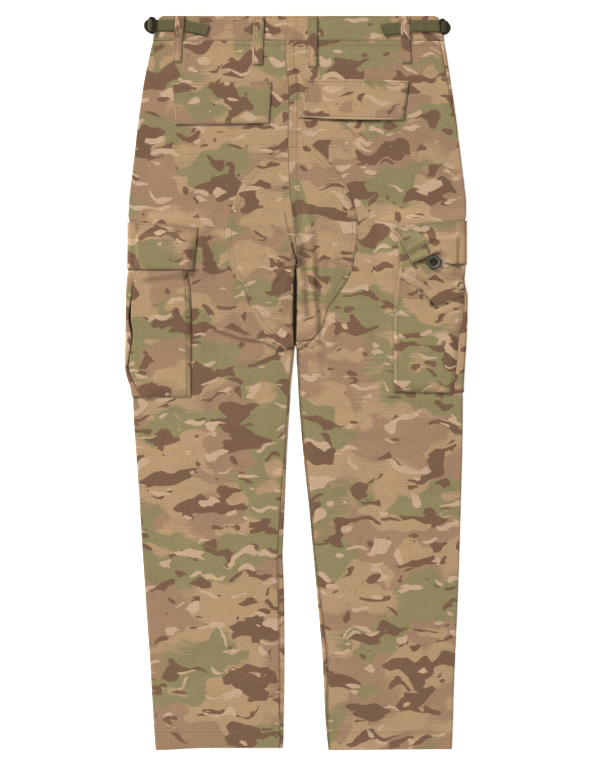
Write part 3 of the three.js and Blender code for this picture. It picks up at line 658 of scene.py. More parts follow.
def relief(x, y):
    """How far the back stands over its flat height."""
    reach = np.minimum(x - left_edge(y), right_edge(y) - x)
    inner = np.where(x < 0, left_inner(y) - x, x - right_inner(y))
    at_inner = np.where(y > CROTCH_Y, 1, ramp(2, 30, inner))
    clear = np.minimum(1, ramp(110, 140, reach) + (1 - ramp(-80, -44, y)) + ramp(256, 290, y))
    full = 0.8 * ramp(12, 80, reach) * np.minimum(1, at_inner + 0.25 * ramp(150, 175, y))
    folds = crests(FOLDS, x, y) * np.minimum(1, 3 * at_inner)
    fine = fine_creases(x, y) + 0.13 * swell(x, y * 1.6, 3, 46) + 0.05 * swell(x, y * 1.8, 4, 15)
    at_band = 1 - 0.8 * ramp(462, 492, y)
    pucker = 0.1 * np.sin(x / 1.9 + 1.3 * np.sin(x / 11)) * ramp(466, 492, y)
    flat = ramp(6, 24, reach) * np.minimum(1, 0.35 + at_inner)
    to_band = 0.35 * ramp(484, 495, y)
    return (
        (full + folds) * clear * ramp(8, 30, reach) * at_band + fine * clear * flat * at_band
        + (pucker + to_band) * flat
    )


def back_face(x, y):
    """The outer face of the back, without its felled seam."""
    return LEG_TOP + lift(x, y) + relief(x, y)


def groove(distance, half):
    return np.exp(-((distance / half) ** 2))


def path_distance(x, y, path):
    """The distance of points from a path of points."""
    best = np.full(np.shape(x), 1e9)
    for (ax, ay), (bx, by) in zip(path[:-1], path[1:]):
        run = max((bx - ax) ** 2 + (by - ay) ** 2, 1e-9)
        t = np.clip(((x - ax) * (bx - ax) + (y - ay) * (by - ay)) / run, 0, 1)
        best = np.minimum(best, (x - ax - t * (bx - ax)) ** 2 + (y - ay - t * (by - ay)) ** 2)
    return np.sqrt(best)


def shadow(x, y, paths):
    """Painted shadow under free edges and in folds: each path with its darkness and its reach."""
    dark = np.zeros(np.shape(x))
    for path, strength, reach in paths:
        dark = np.maximum(dark, strength * groove(path_distance(x, y, path), reach))
    return dark


def flap_outline(leg, edge, count=24):
    """A cargo flap's upper, lower or inner edge as a path, seen from the back."""
    table = CARGO_FLAPS[leg]
    shares = np.linspace(0, 1, count)
    if edge == "inner":
        (_, ux, uy, lx, ly) = table[0]
        return [(between(ux, lx, t), between(uy, ly, t)) for t in shares]
    columns = (1, 2) if edge == "upper" else (3, 4)
    return list(zip(*(line(table, shares, c) for c in columns)))


def pocket_edges(leg):
    pocket = CARGO_POCKETS[leg]
    ys = np.linspace(POCKET_TOP, pocket["bottom"], 24)
    inner = list(zip(line(pocket["inner"], ys), ys))
    return inner + [(line(pocket["pleat"], pocket["bottom"]), pocket["bottom"])]


def leg_shadows(leg):
    """What lies free on the back of a leg, and how dark the painted shadow beside it is."""
    (ulx, uly), (urx, ury), (llx, lly), (lrx, lry) = HIP_FLAPS[leg]
    edges = [([(llx, lly), (lrx, lry)], 0.4, 1.1), ([(urx, ury), (lrx, lry)], 0.3, 1.0)]
    if leg == "right":
        edges.append(([(llx - 4, lly - 0.2), (60, 380.8), (122, 381)], 1.0, 2.3))
        edges.append(([(ulx, uly), (llx, lly)], 0.35, 1.4))
    return edges + [
        (pocket_edges(leg), 0.35, 1.3),
        (flap_outline(leg, "inner"), 0.6, 1.6),
        (flap_outline(leg, "lower"), 0.7, 1.6),
    ]


# Painted shadow under the cargo flaps' free edges, and in the left pocket's bunched corner
def pocket_shadows(leg):
    inner, lower = flap_outline(leg, "inner"), flap_outline(leg, "lower")
    if leg == "left":
        return [
            (inner, 0.6, 1.6), (lower, 0.75, 1.6), ([(-155.5, 162), (-158.5, 156), (-161.5, 151)], 0.9, 3.2),
        ]
    return [(inner, 0.85, 2.2), (lower, 0.9, 2.0)]


def fell_width(y):
    """The felled seam narrows towards the crotch."""
    return between(9, FELL_WIDTH, ramp(200, 345, y))


def felled(x, y):
    """Height and darkness of the felled seam down the middle of the back; the dark on its stitch lines and
    edge is partly painted shade.
    """
    off = x - centre_back(y)
    width = fell_width(y)
    inside = soft(-0.2, 0.8, off) * (1 - soft(width - 0.8, width + 0.4, off))
    above = ramp(182, 196, y)
    rows = groove(off - 1.8, 0.8) + groove(off - width / 2, 0.8) + groove(off - width + 1.8, 0.8)
    return above * (0.55 * inside - 0.22 * rows), above * (0.45 * rows + 0.4 * groove(off, 0.8))


# Surfaces. Each gives points of the cloth's outer face, the way that it faces, its own flat coordinates
# and its shade, which is over 0 where it is dark and under 0 where it is pale. The dark is painted shade in
# creases, crevices, folds and under free edges, and on the stitch lines partly painted shade; the pale is a
# painted highlight.

def surface(x, y, z, nx=0.0, nz=1.0, across=None, shade=0.0):
    shape = np.broadcast(x, y, z).shape
    values = (x, y, z, nx, nz, x if across is None else across, shade)
    full = [np.broadcast_to(np.asarray(value, float), shape) for value in values]
    return dict(zip(("x", "y", "z", "nx", "nz", "across", "shade"), full))


def round_side(x_side, out, radius, low, high, s, y):
    """Mid cloth that folds round a side; s is measured along it from where it leaves the lower layer."""
    turn = math.pi * radius
    angle = np.clip(s / radius, 0, math.pi)
    straight = np.maximum(s - turn, 0) - np.minimum(s, 0)
    x = x_side - out * radius * (1 - np.sin(angle)) - out * straight
    z_round = low(x_side, y) + radius * (1 - np.cos(angle))
    z = np.where(s <= 0, low(x, y), np.where(s < turn, z_round, high(x, y)))
    return x, z, out * np.sin(angle), -np.cos(angle)


def leg_low(x, y):
    return CLOTH / 2 + lift(x, y)


def leg_high(x, y):
    return back_face(x, y) - CLOTH / 2


def outer_seam(leg, y):
    return np.full(np.shape(y), 0.5) if leg == "left" else line(RIGHT_OUTSEAM, y)


def inner_side(leg, layer, y):
    """The inner side's place and the height of its seam. Above the crotch the panel ends at the middle."""
    out = 1 if leg == "left" else -1
    edge = inner_edge(leg, y)
    if layer == "back":
        middle, seam = centre_back(y) + out * FOLD_RADIUS, TURN
    else:
        at_placket = (leg == "left") & (y >= PLACKET_BOTTOM)
        middle = np.where(at_placket, CENTRE_FRONT_X - PLACKET_WIDTH, CENTRE_FRONT_X) + out * FOLD_RADIUS
        seam = 0
    below = y <= CROTCH_Y
    return np.where(below, edge, middle), np.where(below, TURN + line(INSEAM[leg], y), seam)


def graded(t, first, last, total, near_first, near_last):
    """Places along a length, closer together over the lengths near its two ends."""
    middle = near_first + (t - first) / (1 - first - last) * (total - near_first - near_last)
    return np.where(
        t < first, t / first * near_first,
        np.where(t > 1 - last, total - (1 - t) / last * near_last, middle)
    )


def hem_slant(x, y):
    slant = np.where(x < 0, 3 * ramp(-192, -139, x), 1.2 * ramp(60, 200, x))
    return slant * ramp(-500, LEG_BOTTOM, y)


def side_crevice(leg, nx, y):
    """The painted shade on a leg's inner side, from the crotch down to where the legs part."""
    inward = nx if leg == "left" else -nx
    return soft(0.2, 0.6, inward) * ramp(*PARTING, y) * (1 - ramp(CROTCH_Y, CROTCH_Y + 4, y))


# Shares of a panel's mesh rows and the heights that they reach, so that the rows lie closest at the seat
ROW_SHARES = (0, 0.075, 0.45, 0.66, 0.95, 1)
ROW_HEIGHTS = (LEG_BOTTOM, -499, 30, 200, 478, BAND_BOTTOM - SEAM_GAP / 2)


def back_panel(leg):
    def place(u, v):
        y = np.interp(v, ROW_SHARES, ROW_HEIGHTS)
        xo = outer_edge(leg, y)
        xi, inner_end = inner_side(leg, "back", y)
        first_outer = outer_seam(leg, y) + SEAM_GAP / 2
        first_inner = inner_end + SEAM_GAP / 2
        outer, inner = (xo, first_outer), (xi, first_inner)
        (x_l, s_l), (x_r, s_r) = (outer, inner) if leg == "left" else (inner, outer)
        total = 2 * TURN - s_l - s_r + (x_r - x_l) - 2 * FOLD_RADIUS
        shares = (0.12, 0.2) if leg == "left" else (0.26, 0.12)
        lengths = (14, 18) if leg == "left" else (24, 14)
        w = graded(u, *shares, total, *lengths)
        at_left, at_right = s_l + w, s_r + total - w
        left = round_side(x_l, -1, FOLD_RADIUS, leg_low, leg_high, at_left, y)
        right = round_side(x_r, 1, FOLD_RADIUS, leg_low, leg_high, at_right, y)
        x, z, nx, nz = (np.where(at_right < TURN, b, a) for a, b in zip(left, right))
        rise, dark = (
            felled(x, y) if leg == "right"
            else (0 * x, 0.3 * groove(x - centre_back(y), 0.8) * ramp(182, 196, y))
        )
        hem = 0.45 * (1 - soft(LEG_BOTTOM + HEM_DEPTH - 0.8, LEG_BOTTOM + HEM_DEPTH + 0.8, y))
        hem_row = groove(y - (LEG_BOTTOM + HEM_DEPTH - HEM_ROW), 1)
        inner_seam = at_right - inner_end if leg == "left" else at_left - inner_end
        outer_row = np.where(
            y > 262, groove(first_outer - 0.15 - (at_left if leg == "left" else at_right) + 1.5, 0.9), 0
        )
        inner_row = np.where(y < CROTCH_Y, groove(inner_seam - 1.5, 0.9), 0)
        move = CLOTH / 2 + rise + (hem - 0.2 * hem_row - 0.2 * inner_row) * np.clip(nz, 0, 1)
        at_ends = (
            np.where(y < CROTCH_Y, groove(inner_seam, 0.9), 0)
            + (groove(at_right - first_outer, 0.9) * ramp(250, 270, y) if leg == "right" else 0)
        )
        # Painted shade: the crevice between the legs, the dark along the seam just above the crotch, shadows
        # beside free edges and in the seat's valleys, and shade in creases and tucks; the stitch lines' dark
        # is partly painted shade
        crevice = side_crevice(leg, nx, y)
        low_seam = 0.5 * groove(x - centre_back(y), 1) * (1 - ramp(196, 216, y)) * (y > CROTCH_Y)
        band_row = 0.3 * groove(y - BAND_BOTTOM + SEAM_ROW, 0.9)
        seams = (
            dark + 0.35 * hem_row + 0.3 * inner_row + 0.5 * at_ends + 0.3
            * (outer_row if leg == "right" else 0)
        )
        under = shadow(x, y, leg_shadows(leg) + SEAT_SHADOWS) * np.clip(nz, 0, 1)
        tucks = (hollow(fine_creases(x, y)) + crests(FOLD_SHADES, x, y)) * np.clip(nz, 0, 1)
        shade = np.maximum(np.maximum(seams + low_seam + band_row + tucks, under), crevice)
        across = x_l + FOLD_RADIUS + w - (TURN - s_l)
        return surface(x + nx * move, y + hem_slant(x, y), z + nz * move, nx, nz, across, shade)

    return place


def front_panel(leg):
    def place(u, v):
        y = np.interp(v, ROW_SHARES, ROW_HEIGHTS)
        xo = outer_edge(leg, y)
        xi, inner_end = inner_side(leg, "front", y)
        end_outer = outer_seam(leg, y) - SEAM_GAP / 2
        end_inner = inner_end - SEAM_GAP / 2
        outer, inner = (xo, end_outer), (xi, end_inner)
        (x_l, s_l), (x_r, s_r) = (outer, inner) if leg == "left" else (inner, outer)
        total = s_l + s_r + (x_r - x_l) - 2 * FOLD_RADIUS
        w = graded(u, 0.22, 0.22, total, 14, 14)
        at_right, at_left = s_r - w, s_l - (total - w)
        right = round_side(x_r, 1, FOLD_RADIUS, leg_low, leg_high, at_right, y)
        left = round_side(x_l, -1, FOLD_RADIUS, leg_low, leg_high, at_left, y)
        x, z, nx, nz = (np.where(at_left > 0, b, a) for a, b in zip(right, left))
        on_inner = (at_right if leg == "left" else at_left) - end_inner
        row = np.where(y < CROTCH_Y, groove(on_inner + 1.6, 0.9), 0)
        edge = np.where(y < CROTCH_Y, groove(on_inner, 0.9), 0)
        across = -(x_r - FOLD_RADIUS + s_r - w)
        move = CLOTH / 2 - 0.15 * row * np.clip(nz, 0, 1)
        # Painted shade on the inner side down the crevice; the inseam's row and edge are painted darker,
        # partly as painted shade
        crevice = side_crevice(leg, nx, y)
        shade = np.maximum(0.3 * row + 0.4 * edge, crevice)
        return surface(x + nx * move, y + hem_slant(x, y), z + nz * move, nx, nz, across, shade)

    return place


# Outlines on the cloth

def inset(path, distance):
    """A path moved to its left by a distance."""
    points = np.array(path, float)
    run = np.gradient(points, axis=0)
    run /= np.linalg.norm(run, axis=1, keepdims=True)
    return points + distance * np.column_stack((-run[:, 1], run[:, 0]))


def seat_edge(leg, count=70):
    """The sewn outline of a seat patch, from its top at the centre seam to its lower end."""
    table = SEAT_PATCH[leg]
    ys = np.linspace(table[0][0], table[-1][0], count)
    return [(x, y) for x, y in zip(line(table, ys), ys)]


PATCH_FACE = 0.95
LEG_ROUND = 2.9  # the round of a leg's side with the patch on it
PATCH_CLOTH = 0.75


def seat_height(x, y):
    rise = 0
    if np.size(x):
        rise = felled(x, y)[0]
    return back_face(x, y) + PATCH_FACE + 0.8 * rise


def seat_patch(leg):
    table = SEAT_PATCH[leg]
    out = -1 if leg == "left" else 1
    path = seat_edge(leg)

    def place(u, v):
        y = between(table[-1][0], table[0][0], v)
        edge = inner_edge(leg, y)
        at_seam = centre_back(y) + out * 0.25
        at_leg = edge + out * PATCH_INSET
        inner = between(at_leg, at_seam, soft(CROTCH_Y - 4, CROTCH_Y + 4, y))
        start, end = (line(table, y), inner) if leg == "left" else (inner, line(table, y))
        x = between(start, end, between(u, u * u * (3 - 2 * u), 0.7))
        far = path_distance(x, y, path)
        rows = sum(groove(far - row, 1.2) for row in PATCH_ROWS)
        rolled = 0.6 * groove(far, 1.8)
        pucker = 0.07 * np.sin(y / 1.7 + x / 2.3) * groove(far - 5, 5)
        leg_gap = out * (x - edge) + CLOTH / 2
        round_off = LEG_ROUND - np.sqrt(
            np.maximum(LEG_ROUND**2 - np.maximum(LEG_ROUND - 0.4 - leg_gap, 0) ** 2, 0.2)
        )
        z = seat_height(x, y) - 0.12 * rows - rolled + pucker - round_off * (y < CROTCH_Y)
        # Painted shade: the crevice between the legs, the dark along the seam above the crotch, shade in
        # creases, folds and the seat's valleys, and painted highlights on lit ridges; the stitch rows' dark
        # is partly painted shade
        plateau, falloff = (2.2, 4.4) if leg == "left" else (2.0, 1.3)
        narrow = np.minimum(0.3 + 0.7 * ramp(170, 146, y), 0.45 + 0.55 * ramp(50, 84, y))
        crevice = groove(np.maximum(leg_gap - plateau * narrow, 0), falloff * narrow)
        crevice = crevice * ramp(47, 54, y) * (1 - ramp(164, 171, y))
        low_seam = 0.3 * groove(x - centre_back(y), 1.2) * (1 - ramp(196, 216, y)) * (y >= CROTCH_Y)
        tucks = hollow(fine_creases(x, y)) + crests(FOLD_SHADES, x, y) - shadow(x, y, SEAT_HIGHLIGHTS)
        seams = 0.12 * rows + 0.1 * groove(far, 0.8) + 0.5 * felled(x, y)[1] + tucks
        dark = np.maximum(np.maximum(crevice, low_seam), shadow(x, y, SEAT_SHADOWS))
        return surface(x, y, z, shade=np.where(dark > 0.05, np.maximum(seams, dark), seams))

    return place


def hip_flap_height(leg):
    (ulx, uly), (urx, ury), (llx, lly), (lrx, lry) = HIP_FLAPS[leg]

    def height(x, y):
        across = ramp(ulx, urx, x)
        upper, lower = between(uly, ury, across), between(lly, lry, across)
        down = np.clip((upper - y) / (upper - lower), 0, 1)
        off = x - centre_back(y)
        over_fell = 0.5 * (1 - soft(FELL_WIDTH - 1, FELL_WIDTH + 9, off)) if leg == "right" else 0
        bow = (
            (1.4 if leg == "right" else 0.5) * down**3
            * np.sin(math.pi * np.clip(across * 0.95 + 0.02, 0, 1)) ** 1.4
        )
        wave = 0.25 * swell(x, y, 21 if leg == "right" else 22, 60) * down
        return back_face(x, y) + over_fell + 1.7 + 0.5 * down + bow * 0.75 + wave * 0.5

    return height


def hip_flap(leg):
    upper_left, upper_right, lower_left, lower_right = (np.array(p) for p in HIP_FLAPS[leg])
    height = hip_flap_height(leg)
    border = [tuple(upper_left), tuple(lower_left), tuple(lower_right), tuple(upper_right)]

    def place(u, v):
        top = between(upper_left[:, None], upper_right[:, None], u[None])
        low = between(lower_left[:, None], lower_right[:, None], u[None])
        x, y = between(low, top, v[None])
        if leg == "right":
            y = y + 1.2 * np.sin(math.pi * np.clip(u, 0, 1)) * v - 1.4 * np.sin(math.pi * u) * (1 - v)
        far = path_distance(x, y, border)
        top_far = path_distance(x, y, [tuple(upper_left), tuple(upper_right)])
        rows = groove(far - 2.4, 1.1)
        top_row = groove(top_far - 2.4, 1)
        z = height(x, y) - 0.2 * rows - 0.15 * top_row - 0.25 * groove(far, 0.9) - 0.9 * groove(top_far, 1.6)
        low_far = path_distance(x, y, [tuple(lower_left), tuple(lower_right), tuple(upper_right)])
        # The sewn top edge is painted dark, partly as painted shade; the free lower and right edges get a
        # painted highlight
        edges = 0.55 * groove(top_far, 0.7) + 0.1 * groove(far, 0.7) - 1.0 * groove(low_far - 0.7, 1.0)
        return surface(x, y, z, shade=0.22 * rows + 0.1 * top_row + edges)

    return place


def placket(u, v):
    x = between(CENTRE_FRONT_X - SEAM_GAP, CENTRE_FRONT_X - PLACKET_WIDTH + SEAM_GAP, u)
    y = between(PLACKET_BOTTOM + 0.6, BAND_BOTTOM - SEAM_GAP / 2, v)
    return surface(x, y, 0 * x, 0, -1, across=-x)


# Waistband, loops and side adjusters

def band_edge(y, out):
    return line(OUTLINE, y, 1 if out < 0 else 4) - out * BAND_CLOTH / 2


def band_low(x, y):
    return BAND_CLOTH / 2 + 0 * x


def band_high(x, y):
    wave = (
        0.12 * swell(x, y * 2, 31, 34) + 0.1
        * crests([(-190, 500, -150, 508, 1, 5), (60, 502, 130, 497, 1, 6)], x, y)
    )
    return BAND_CLOTH / 2 + 2 * BAND_RADIUS + wave


# The stitch rows' sink and dark, and the dark at the band's lower seam, which is partly painted shade
def band_rows(y):
    top, low = groove(y - BAND_TOP + BAND_TOP_ROW, 0.8), groove(y - BAND_BOTTOM - BAND_LOW_ROW, 0.8)
    ends = groove(y - BAND_BOTTOM, 0.9)
    return 0.22 * (top + low), 0.28 * (top + low) + 0.12 * ends


def band_corner(x, y):
    """How far the band's top corners round off."""
    reach = np.minimum(x - band_edge(y, -1), band_edge(y, 1) - x)
    return 2.4 * (1 - soft(-1, 5.5, reach)) * ramp(BAND_TOP - 14, BAND_TOP, y)


# Painted shadows on the band beside the side straps: points, darkness and reach
BAND_SHADOWS = [
    ([(-204, 510), (-166, 510), (-131, 502.4), (-127, 519)], 0.8, 1.7),
    ([(207, 509), (160, 509), (128.5, 502.4), (122.5, 519)], 0.8, 1.7),
]


def waistband_back(u, v):
    y = between(BAND_BOTTOM + SEAM_GAP / 2, BAND_TOP, v)
    x_l, x_r = band_edge(y, -1), band_edge(y, 1)
    turn = math.pi * BAND_RADIUS
    first = turn / 2 + SEAM_GAP / 2
    total = 2 * (turn - first) + (x_r - x_l) - 2 * BAND_RADIUS
    w = graded(u, 0.06, 0.06, total, 10, 10)
    at_left, at_right = first + w, first + total - w
    left = round_side(x_l, -1, BAND_RADIUS, band_low, band_high, at_left, y)
    right = round_side(x_r, 1, BAND_RADIUS, band_low, band_high, at_right, y)
    x, z, nx, nz = (np.where(at_right < turn, b, a) for a, b in zip(left, right))
    sunk, dark = band_rows(y)
    top_roll = 0.5 * groove(y - BAND_TOP, 1.2) + 0.15 * groove(y - BAND_BOTTOM, 0.9)
    fell_x = x - centre_back(y)
    fell = 0.3 * soft(-0.2, 0.8, fell_x) * (1 - soft(FELL_WIDTH - 0.8, FELL_WIDTH + 0.4, fell_x))
    seam = groove(fell_x, 0.8) + 0.6 * groove(fell_x - FELL_WIDTH, 0.8)
    move = BAND_CLOTH / 2 + (fell - sunk - top_roll) * np.clip(nz, 0, 1)
    across = x_l + BAND_RADIUS + w - (turn - first)
    dark = np.maximum(dark + 0.5 * seam, 0.6 * shadow(x, y, BAND_SHADOWS) * np.clip(nz, 0, 1))
    return surface(x + nx * move, y - band_corner(x, y), z + nz * move, nx, nz, across, dark)


def waistband_front(leg):
    out = -1 if leg == "left" else 1

    def place(u, v):
        y = between(BAND_BOTTOM + SEAM_GAP / 2, BAND_TOP, v)
        x_side = band_edge(y, out)
        end = math.pi * BAND_RADIUS / 2 - SEAM_GAP / 2
        straight = np.abs(x_side - CENTRE_FRONT_X) - BAND_RADIUS - SEAM_GAP / 2
        total = end + straight
        w = u * total if leg == "left" else (1 - u) * total
        x, z, nx, nz = round_side(x_side, out, BAND_RADIUS, band_low, band_high, w - straight, y)
        move = BAND_CLOTH / 2 - 0.35 * groove(y - BAND_TOP, 1.2) * np.clip(nx * out, 0, 1)
        return surface(x + nx * move, y - band_corner(x, y), z + nz * move, nx, nz, across=out * w)

    return place


def loop_height(name):
    top, _, bottom, _, _, rise = BELT_LOOPS[name]

    def height(x, y):
        share = (y - bottom) / (top - bottom)
        over_band = soft(0.36, 0.46, share)
        fell = felled(x, y)[0] * (x > 0)
        stand = rise * soft(0.5, 0.62, share) * (1 - soft(0.93, 1.0, share))
        base = between(back_face(x, y) + fell, BAND_FACE, over_band)
        return base + 0.35 + 1.3 + stand - 0.5 * soft(0.975, 1, share) - 0.35 * (1 - soft(0, 0.05, share))

    return height


def belt_loop(name):
    top, top_x, bottom, bottom_x, width, _ = BELT_LOOPS[name]
    height = loop_height(name)

    def place(u, v):
        y = between(bottom, top, v)
        off = (u - 0.5) * width
        x = between(bottom_x, top_x, v) + off + 0.25 * np.sin(v * 7 + top_x)
        side = width / 2 - np.abs(off)
        rows = groove(side - LOOP_ROW, 0.7)
        ends = groove(np.minimum(y - bottom, top - y), 0.8)
        z = height(x, y) - 0.18 * rows - 0.45 * groove(side, 0.8) + 0.1 * groove(side - 1.2, 0.8)
        # The stitch rows, ends and folded sides are painted darker, partly as painted shade
        return surface(x, y, z, shade=0.4 * rows + 0.3 * ends + 0.35 * groove(side, 0.7))

    return place


def strap_route(strap):
    """The webbing's route as smooth arrays: way along it, out, height and the way that it faces."""
    tail = strap["out"] * (strap["tail_x"] - strap["side_x"])
    route = [(tail, WEBBING_ROUTE[0][1]), (0.6 * tail - 15, WEBBING_ROUTE[0][1]), *WEBBING_ROUTE]
    points = np.array(route, float)
    way = np.concatenate(([0], np.cumsum(np.hypot(*np.diff(points, axis=0).T))))
    fine = np.linspace(0, way[-1], 400)
    out, z = (np.interp(fine, way, points[:, k]) for k in (0, 1))
    kernel = np.hanning(11) / np.hanning(11).sum()
    out[6:-6], z[6:-6] = np.convolve(out, kernel, "same")[6:-6], np.convolve(z, kernel, "same")[6:-6]
    run = np.hypot(np.gradient(out), np.gradient(z))
    return fine, out, z, -np.gradient(z) / run, np.gradient(out) / run


def side_strap(leg):
    strap = SIDE_STRAPS[leg]
    way, outs, heights, face_out, face_up = strap_route(strap)
    tail = outs[0]

    def place(u, v):
        s = v * way[-1]
        out, z = np.interp(s, way, outs), np.interp(s, way, heights)
        nx, nz = strap["out"] * np.interp(s, way, face_out), np.interp(s, way, face_up)
        droop = np.clip((out + 38) / (tail + 38), 0, 1)
        middle = between(strap["y"], strap["tail_y"], droop)
        off = u - 0.5
        in_buckle = soft(1, 6, out)
        middle = middle - strap["drop"] * in_buckle
        slant = strap["slant"] * off * np.clip(1 - s / 12, 0, 1)
        x = strap["side_x"] + strap["out"] * out + slant
        y = middle + off * WEBBING_WIDTH * between(1, strap["gather"], in_buckle)
        rib = 0.1 * np.sin(2 * math.pi * s / 1.5) * (1 - groove(np.abs(off) - 0.5, 0.06))
        middle_row = 0.12 * groove(np.abs(off), 0.03)
        edge = 0.35 * groove(np.abs(off) - 0.5, 0.05)
        tail_lift = 0.8 * np.clip(1 - s / 26, 0, 1) ** 2
        move = WEBBING / 2 + rib - edge - middle_row
        # The edges, middle line and end are painted darker, partly as painted shade; inside the buckle the
        # webbing gets painted shade
        shade = (
            0.35 * groove(np.abs(off) - 0.5, 0.05) + 0.2 * middle_row + 0.3 * groove(s, 1) + strap["dark"]
            * in_buckle
        )
        return surface(x + nx * move, y, z + nz * move + tail_lift, nx, nz, s, shade)

    return place


# Cargo pockets and flaps

def pocket_puff(leg, x, y):
    pocket = CARGO_POCKETS[leg]
    inner = np.abs(x - line(pocket["inner"], y))
    pleat = np.abs(line(pocket["pleat"], y) - x)
    at_bottom = soft(0, 12, y - pocket["bottom"])
    near_pleat = 1 - soft(12, 26, pleat)
    at_edge = 1 - 0.75 * groove(pleat, 5) * (leg == "right")
    return POCKET_PUFF * soft(-1, 8, inner) * np.maximum(at_bottom, near_pleat) * at_edge


CURL_PLACE = (238.6, 141)


def curl(x, y):
    """Height and painted shade of the small curled tuck at the right pocket's side: shade inside and below
    it, and a painted highlight on its rim and middle.
    """
    dx, dy = x - CURL_PLACE[0], (y - CURL_PLACE[1]) / 1.08
    far = np.maximum(np.hypot(dx, dy), 0.01)
    side = (dy - dx) / (1.414 * far)
    rim = groove(far - 5.8, 1.2) * ramp(-0.7, 0.1, side)
    inside = groove(far - 3.9, 1.1) * ramp(-0.2, 0.5, side)
    below = groove(far - 6.0, 1.5) * ramp(0.1, -0.5, side)
    core = groove(far - 1.0, 1.4)
    return 1.3 * rim - 0.6 * inside, 1.5 * inside + 1.1 * below - 1.6 * rim - 0.5 * core


def pocket_height(leg):
    pocket = CARGO_POCKETS[leg]

    def height(x, y):
        puff = pocket_puff(leg, x, y)
        free = puff / POCKET_PUFF
        fine = 1.35 * crests(POCKET_CREASES[leg], x, y) + 0.12 * swell(x, y, 41 if leg == "left" else 42, 40)
        if leg == "right":
            fine = fine + curl(x, y)[0]
        return (
            back_face(x, y) + STEP + puff + (fine - 0.1) * free * 0.8
            * (1 - soft(165, 185, y) * (leg == "left"))
        )

    return height


def cargo_pocket_back(leg):
    pocket = CARGO_POCKETS[leg]
    height = pocket_height(leg)
    ys = np.linspace(POCKET_TOP, pocket["bottom"], 40)
    inner_path = list(zip(line(pocket["inner"], ys), ys))
    bottom_path = [
        (line(pocket["inner"], pocket["bottom"]), pocket["bottom"]),
        (line(pocket["pleat"], pocket["bottom"]), pocket["bottom"]),
    ]

    shadows = pocket_shadows(leg)

    def place(u, v):
        y = between(pocket["bottom"], POCKET_TOP, v)
        inner, pleat = line(pocket["inner"], y), line(pocket["pleat"], y)
        t = np.where(u < 0.5, 2 * u * u, 1 - 2 * (1 - u) ** 2) * 0.55 + u * 0.45
        x = between(pleat, inner, t) if pocket["out"] < 0 else between(inner, pleat, t)
        to_inner, to_bottom = path_distance(x, y, inner_path), path_distance(x, y, bottom_path)
        to_pleat = np.abs(x - pleat)
        gusset = groove(to_inner - 3.4, 1.3)
        rows = groove(to_inner - POCKET_INNER_ROW, 0.9) + groove(to_bottom - EDGE_ROW, 1)
        rows = rows + 0.5 * groove(to_pleat - EDGE_ROW, 1)
        roll = 0.45 * groove(to_inner, 1) + 0.45 * groove(to_bottom, 1) + 0.5 * groove(to_pleat, 0.9)
        z = height(x, y) - 0.25 * rows + 0.35 * gusset - roll
        # Painted shade along the edges, beside the inner strip, in creases and under the flap; pale is a
        # painted highlight on the raised inner strip and the pleat's edge
        edges = (
            0.2 * groove(to_inner, 0.7) + 0.2 * groove(to_bottom, 0.8) + 0.35 * groove(to_inner - 4.9, 0.6)
        )
        pale = (
            0.6 * groove(to_inner - 2.2, 1.5) + 0.4 * groove(to_pleat - 1.2, 1.0)
            * (1 - ramp(118, 130, y) * (leg == "right"))
        )
        tucks = hollow(crests(POCKET_CREASES[leg], x, y)) + crests(POCKET_SHADES[leg], x, y)
        if leg == "right":
            tucks = tucks + curl(x, y)[1]
        shade = 0.3 * rows + edges - pale + tucks
        return surface(x, y, z, shade=np.maximum(shade, shadow(x, y, shadows)))

    return place


def pocket_side_x(leg, y):
    pocket = CARGO_POCKETS[leg]
    out = pocket["out"]
    leg_x = outer_edge(leg, y)
    return out * np.maximum(out * (leg_x + out * STEP), out * (line(pocket["side"], y) - out * CLOTH / 2))


def cargo_pocket_front(leg):
    pocket = CARGO_POCKETS[leg]
    out = pocket["out"]
    radius = FOLD_RADIUS + STEP

    def low(x, y):
        return CLOTH / 2 + lifts(x, y)[1]

    def high(x, y):
        return back_face(x, y) + LAYER_GAP + CLOTH / 2

    shadows = pocket_shadows(leg)[1:2]

    def place(u, v):
        y = between(pocket["bottom"], POCKET_TOP, v)
        x_side = pocket_side_x(leg, y)
        turn = math.pi * radius
        start = line(pocket["pleat"], y) - out * POCKET_TUCK
        first = turn + np.abs(x_side - start) - radius
        last = -(POCKET_FRONT_DEPTH - radius)
        t = u if out > 0 else 1 - u
        s = graded(t, 0.6, 0.05, first - last, 34, 3)
        s = first - s
        x, z, nx, nz = round_side(x_side, out, radius, low, high, s, y)
        past = out * (x - line(pocket["pleat"], y))
        open_width = 1.7 + 2.6 * groove(y - 90, 24) + 1.2 * groove(y - 22, 13) if leg == "left" else 0.8
        mouth = soft(-3, -1, past) * (1 - soft(open_width - 0.8, open_width + 0.5, past)) * np.clip(nz, 0, 1)
        below_flap = (1 - ramp(140, 150, y)) * ramp(pocket["bottom"], pocket["bottom"] + 4, y)
        move = CLOTH / 2 - 0.5 * mouth * below_flap
        # Painted deep shade in the pleat's open mouth, and painted shadow under the flap's lower edge
        depth = between(0.78, 1.0, ramp(8, 32, y)) if leg == "left" else 0.2
        dark = np.maximum(depth * mouth * below_flap, 0.9 * shadow(x, y, shadows) * np.clip(nz, 0, 1))
        return surface(x + nx * move, y, z + nz * move, nx, nz, across=-out * s, shade=dark)

    return place


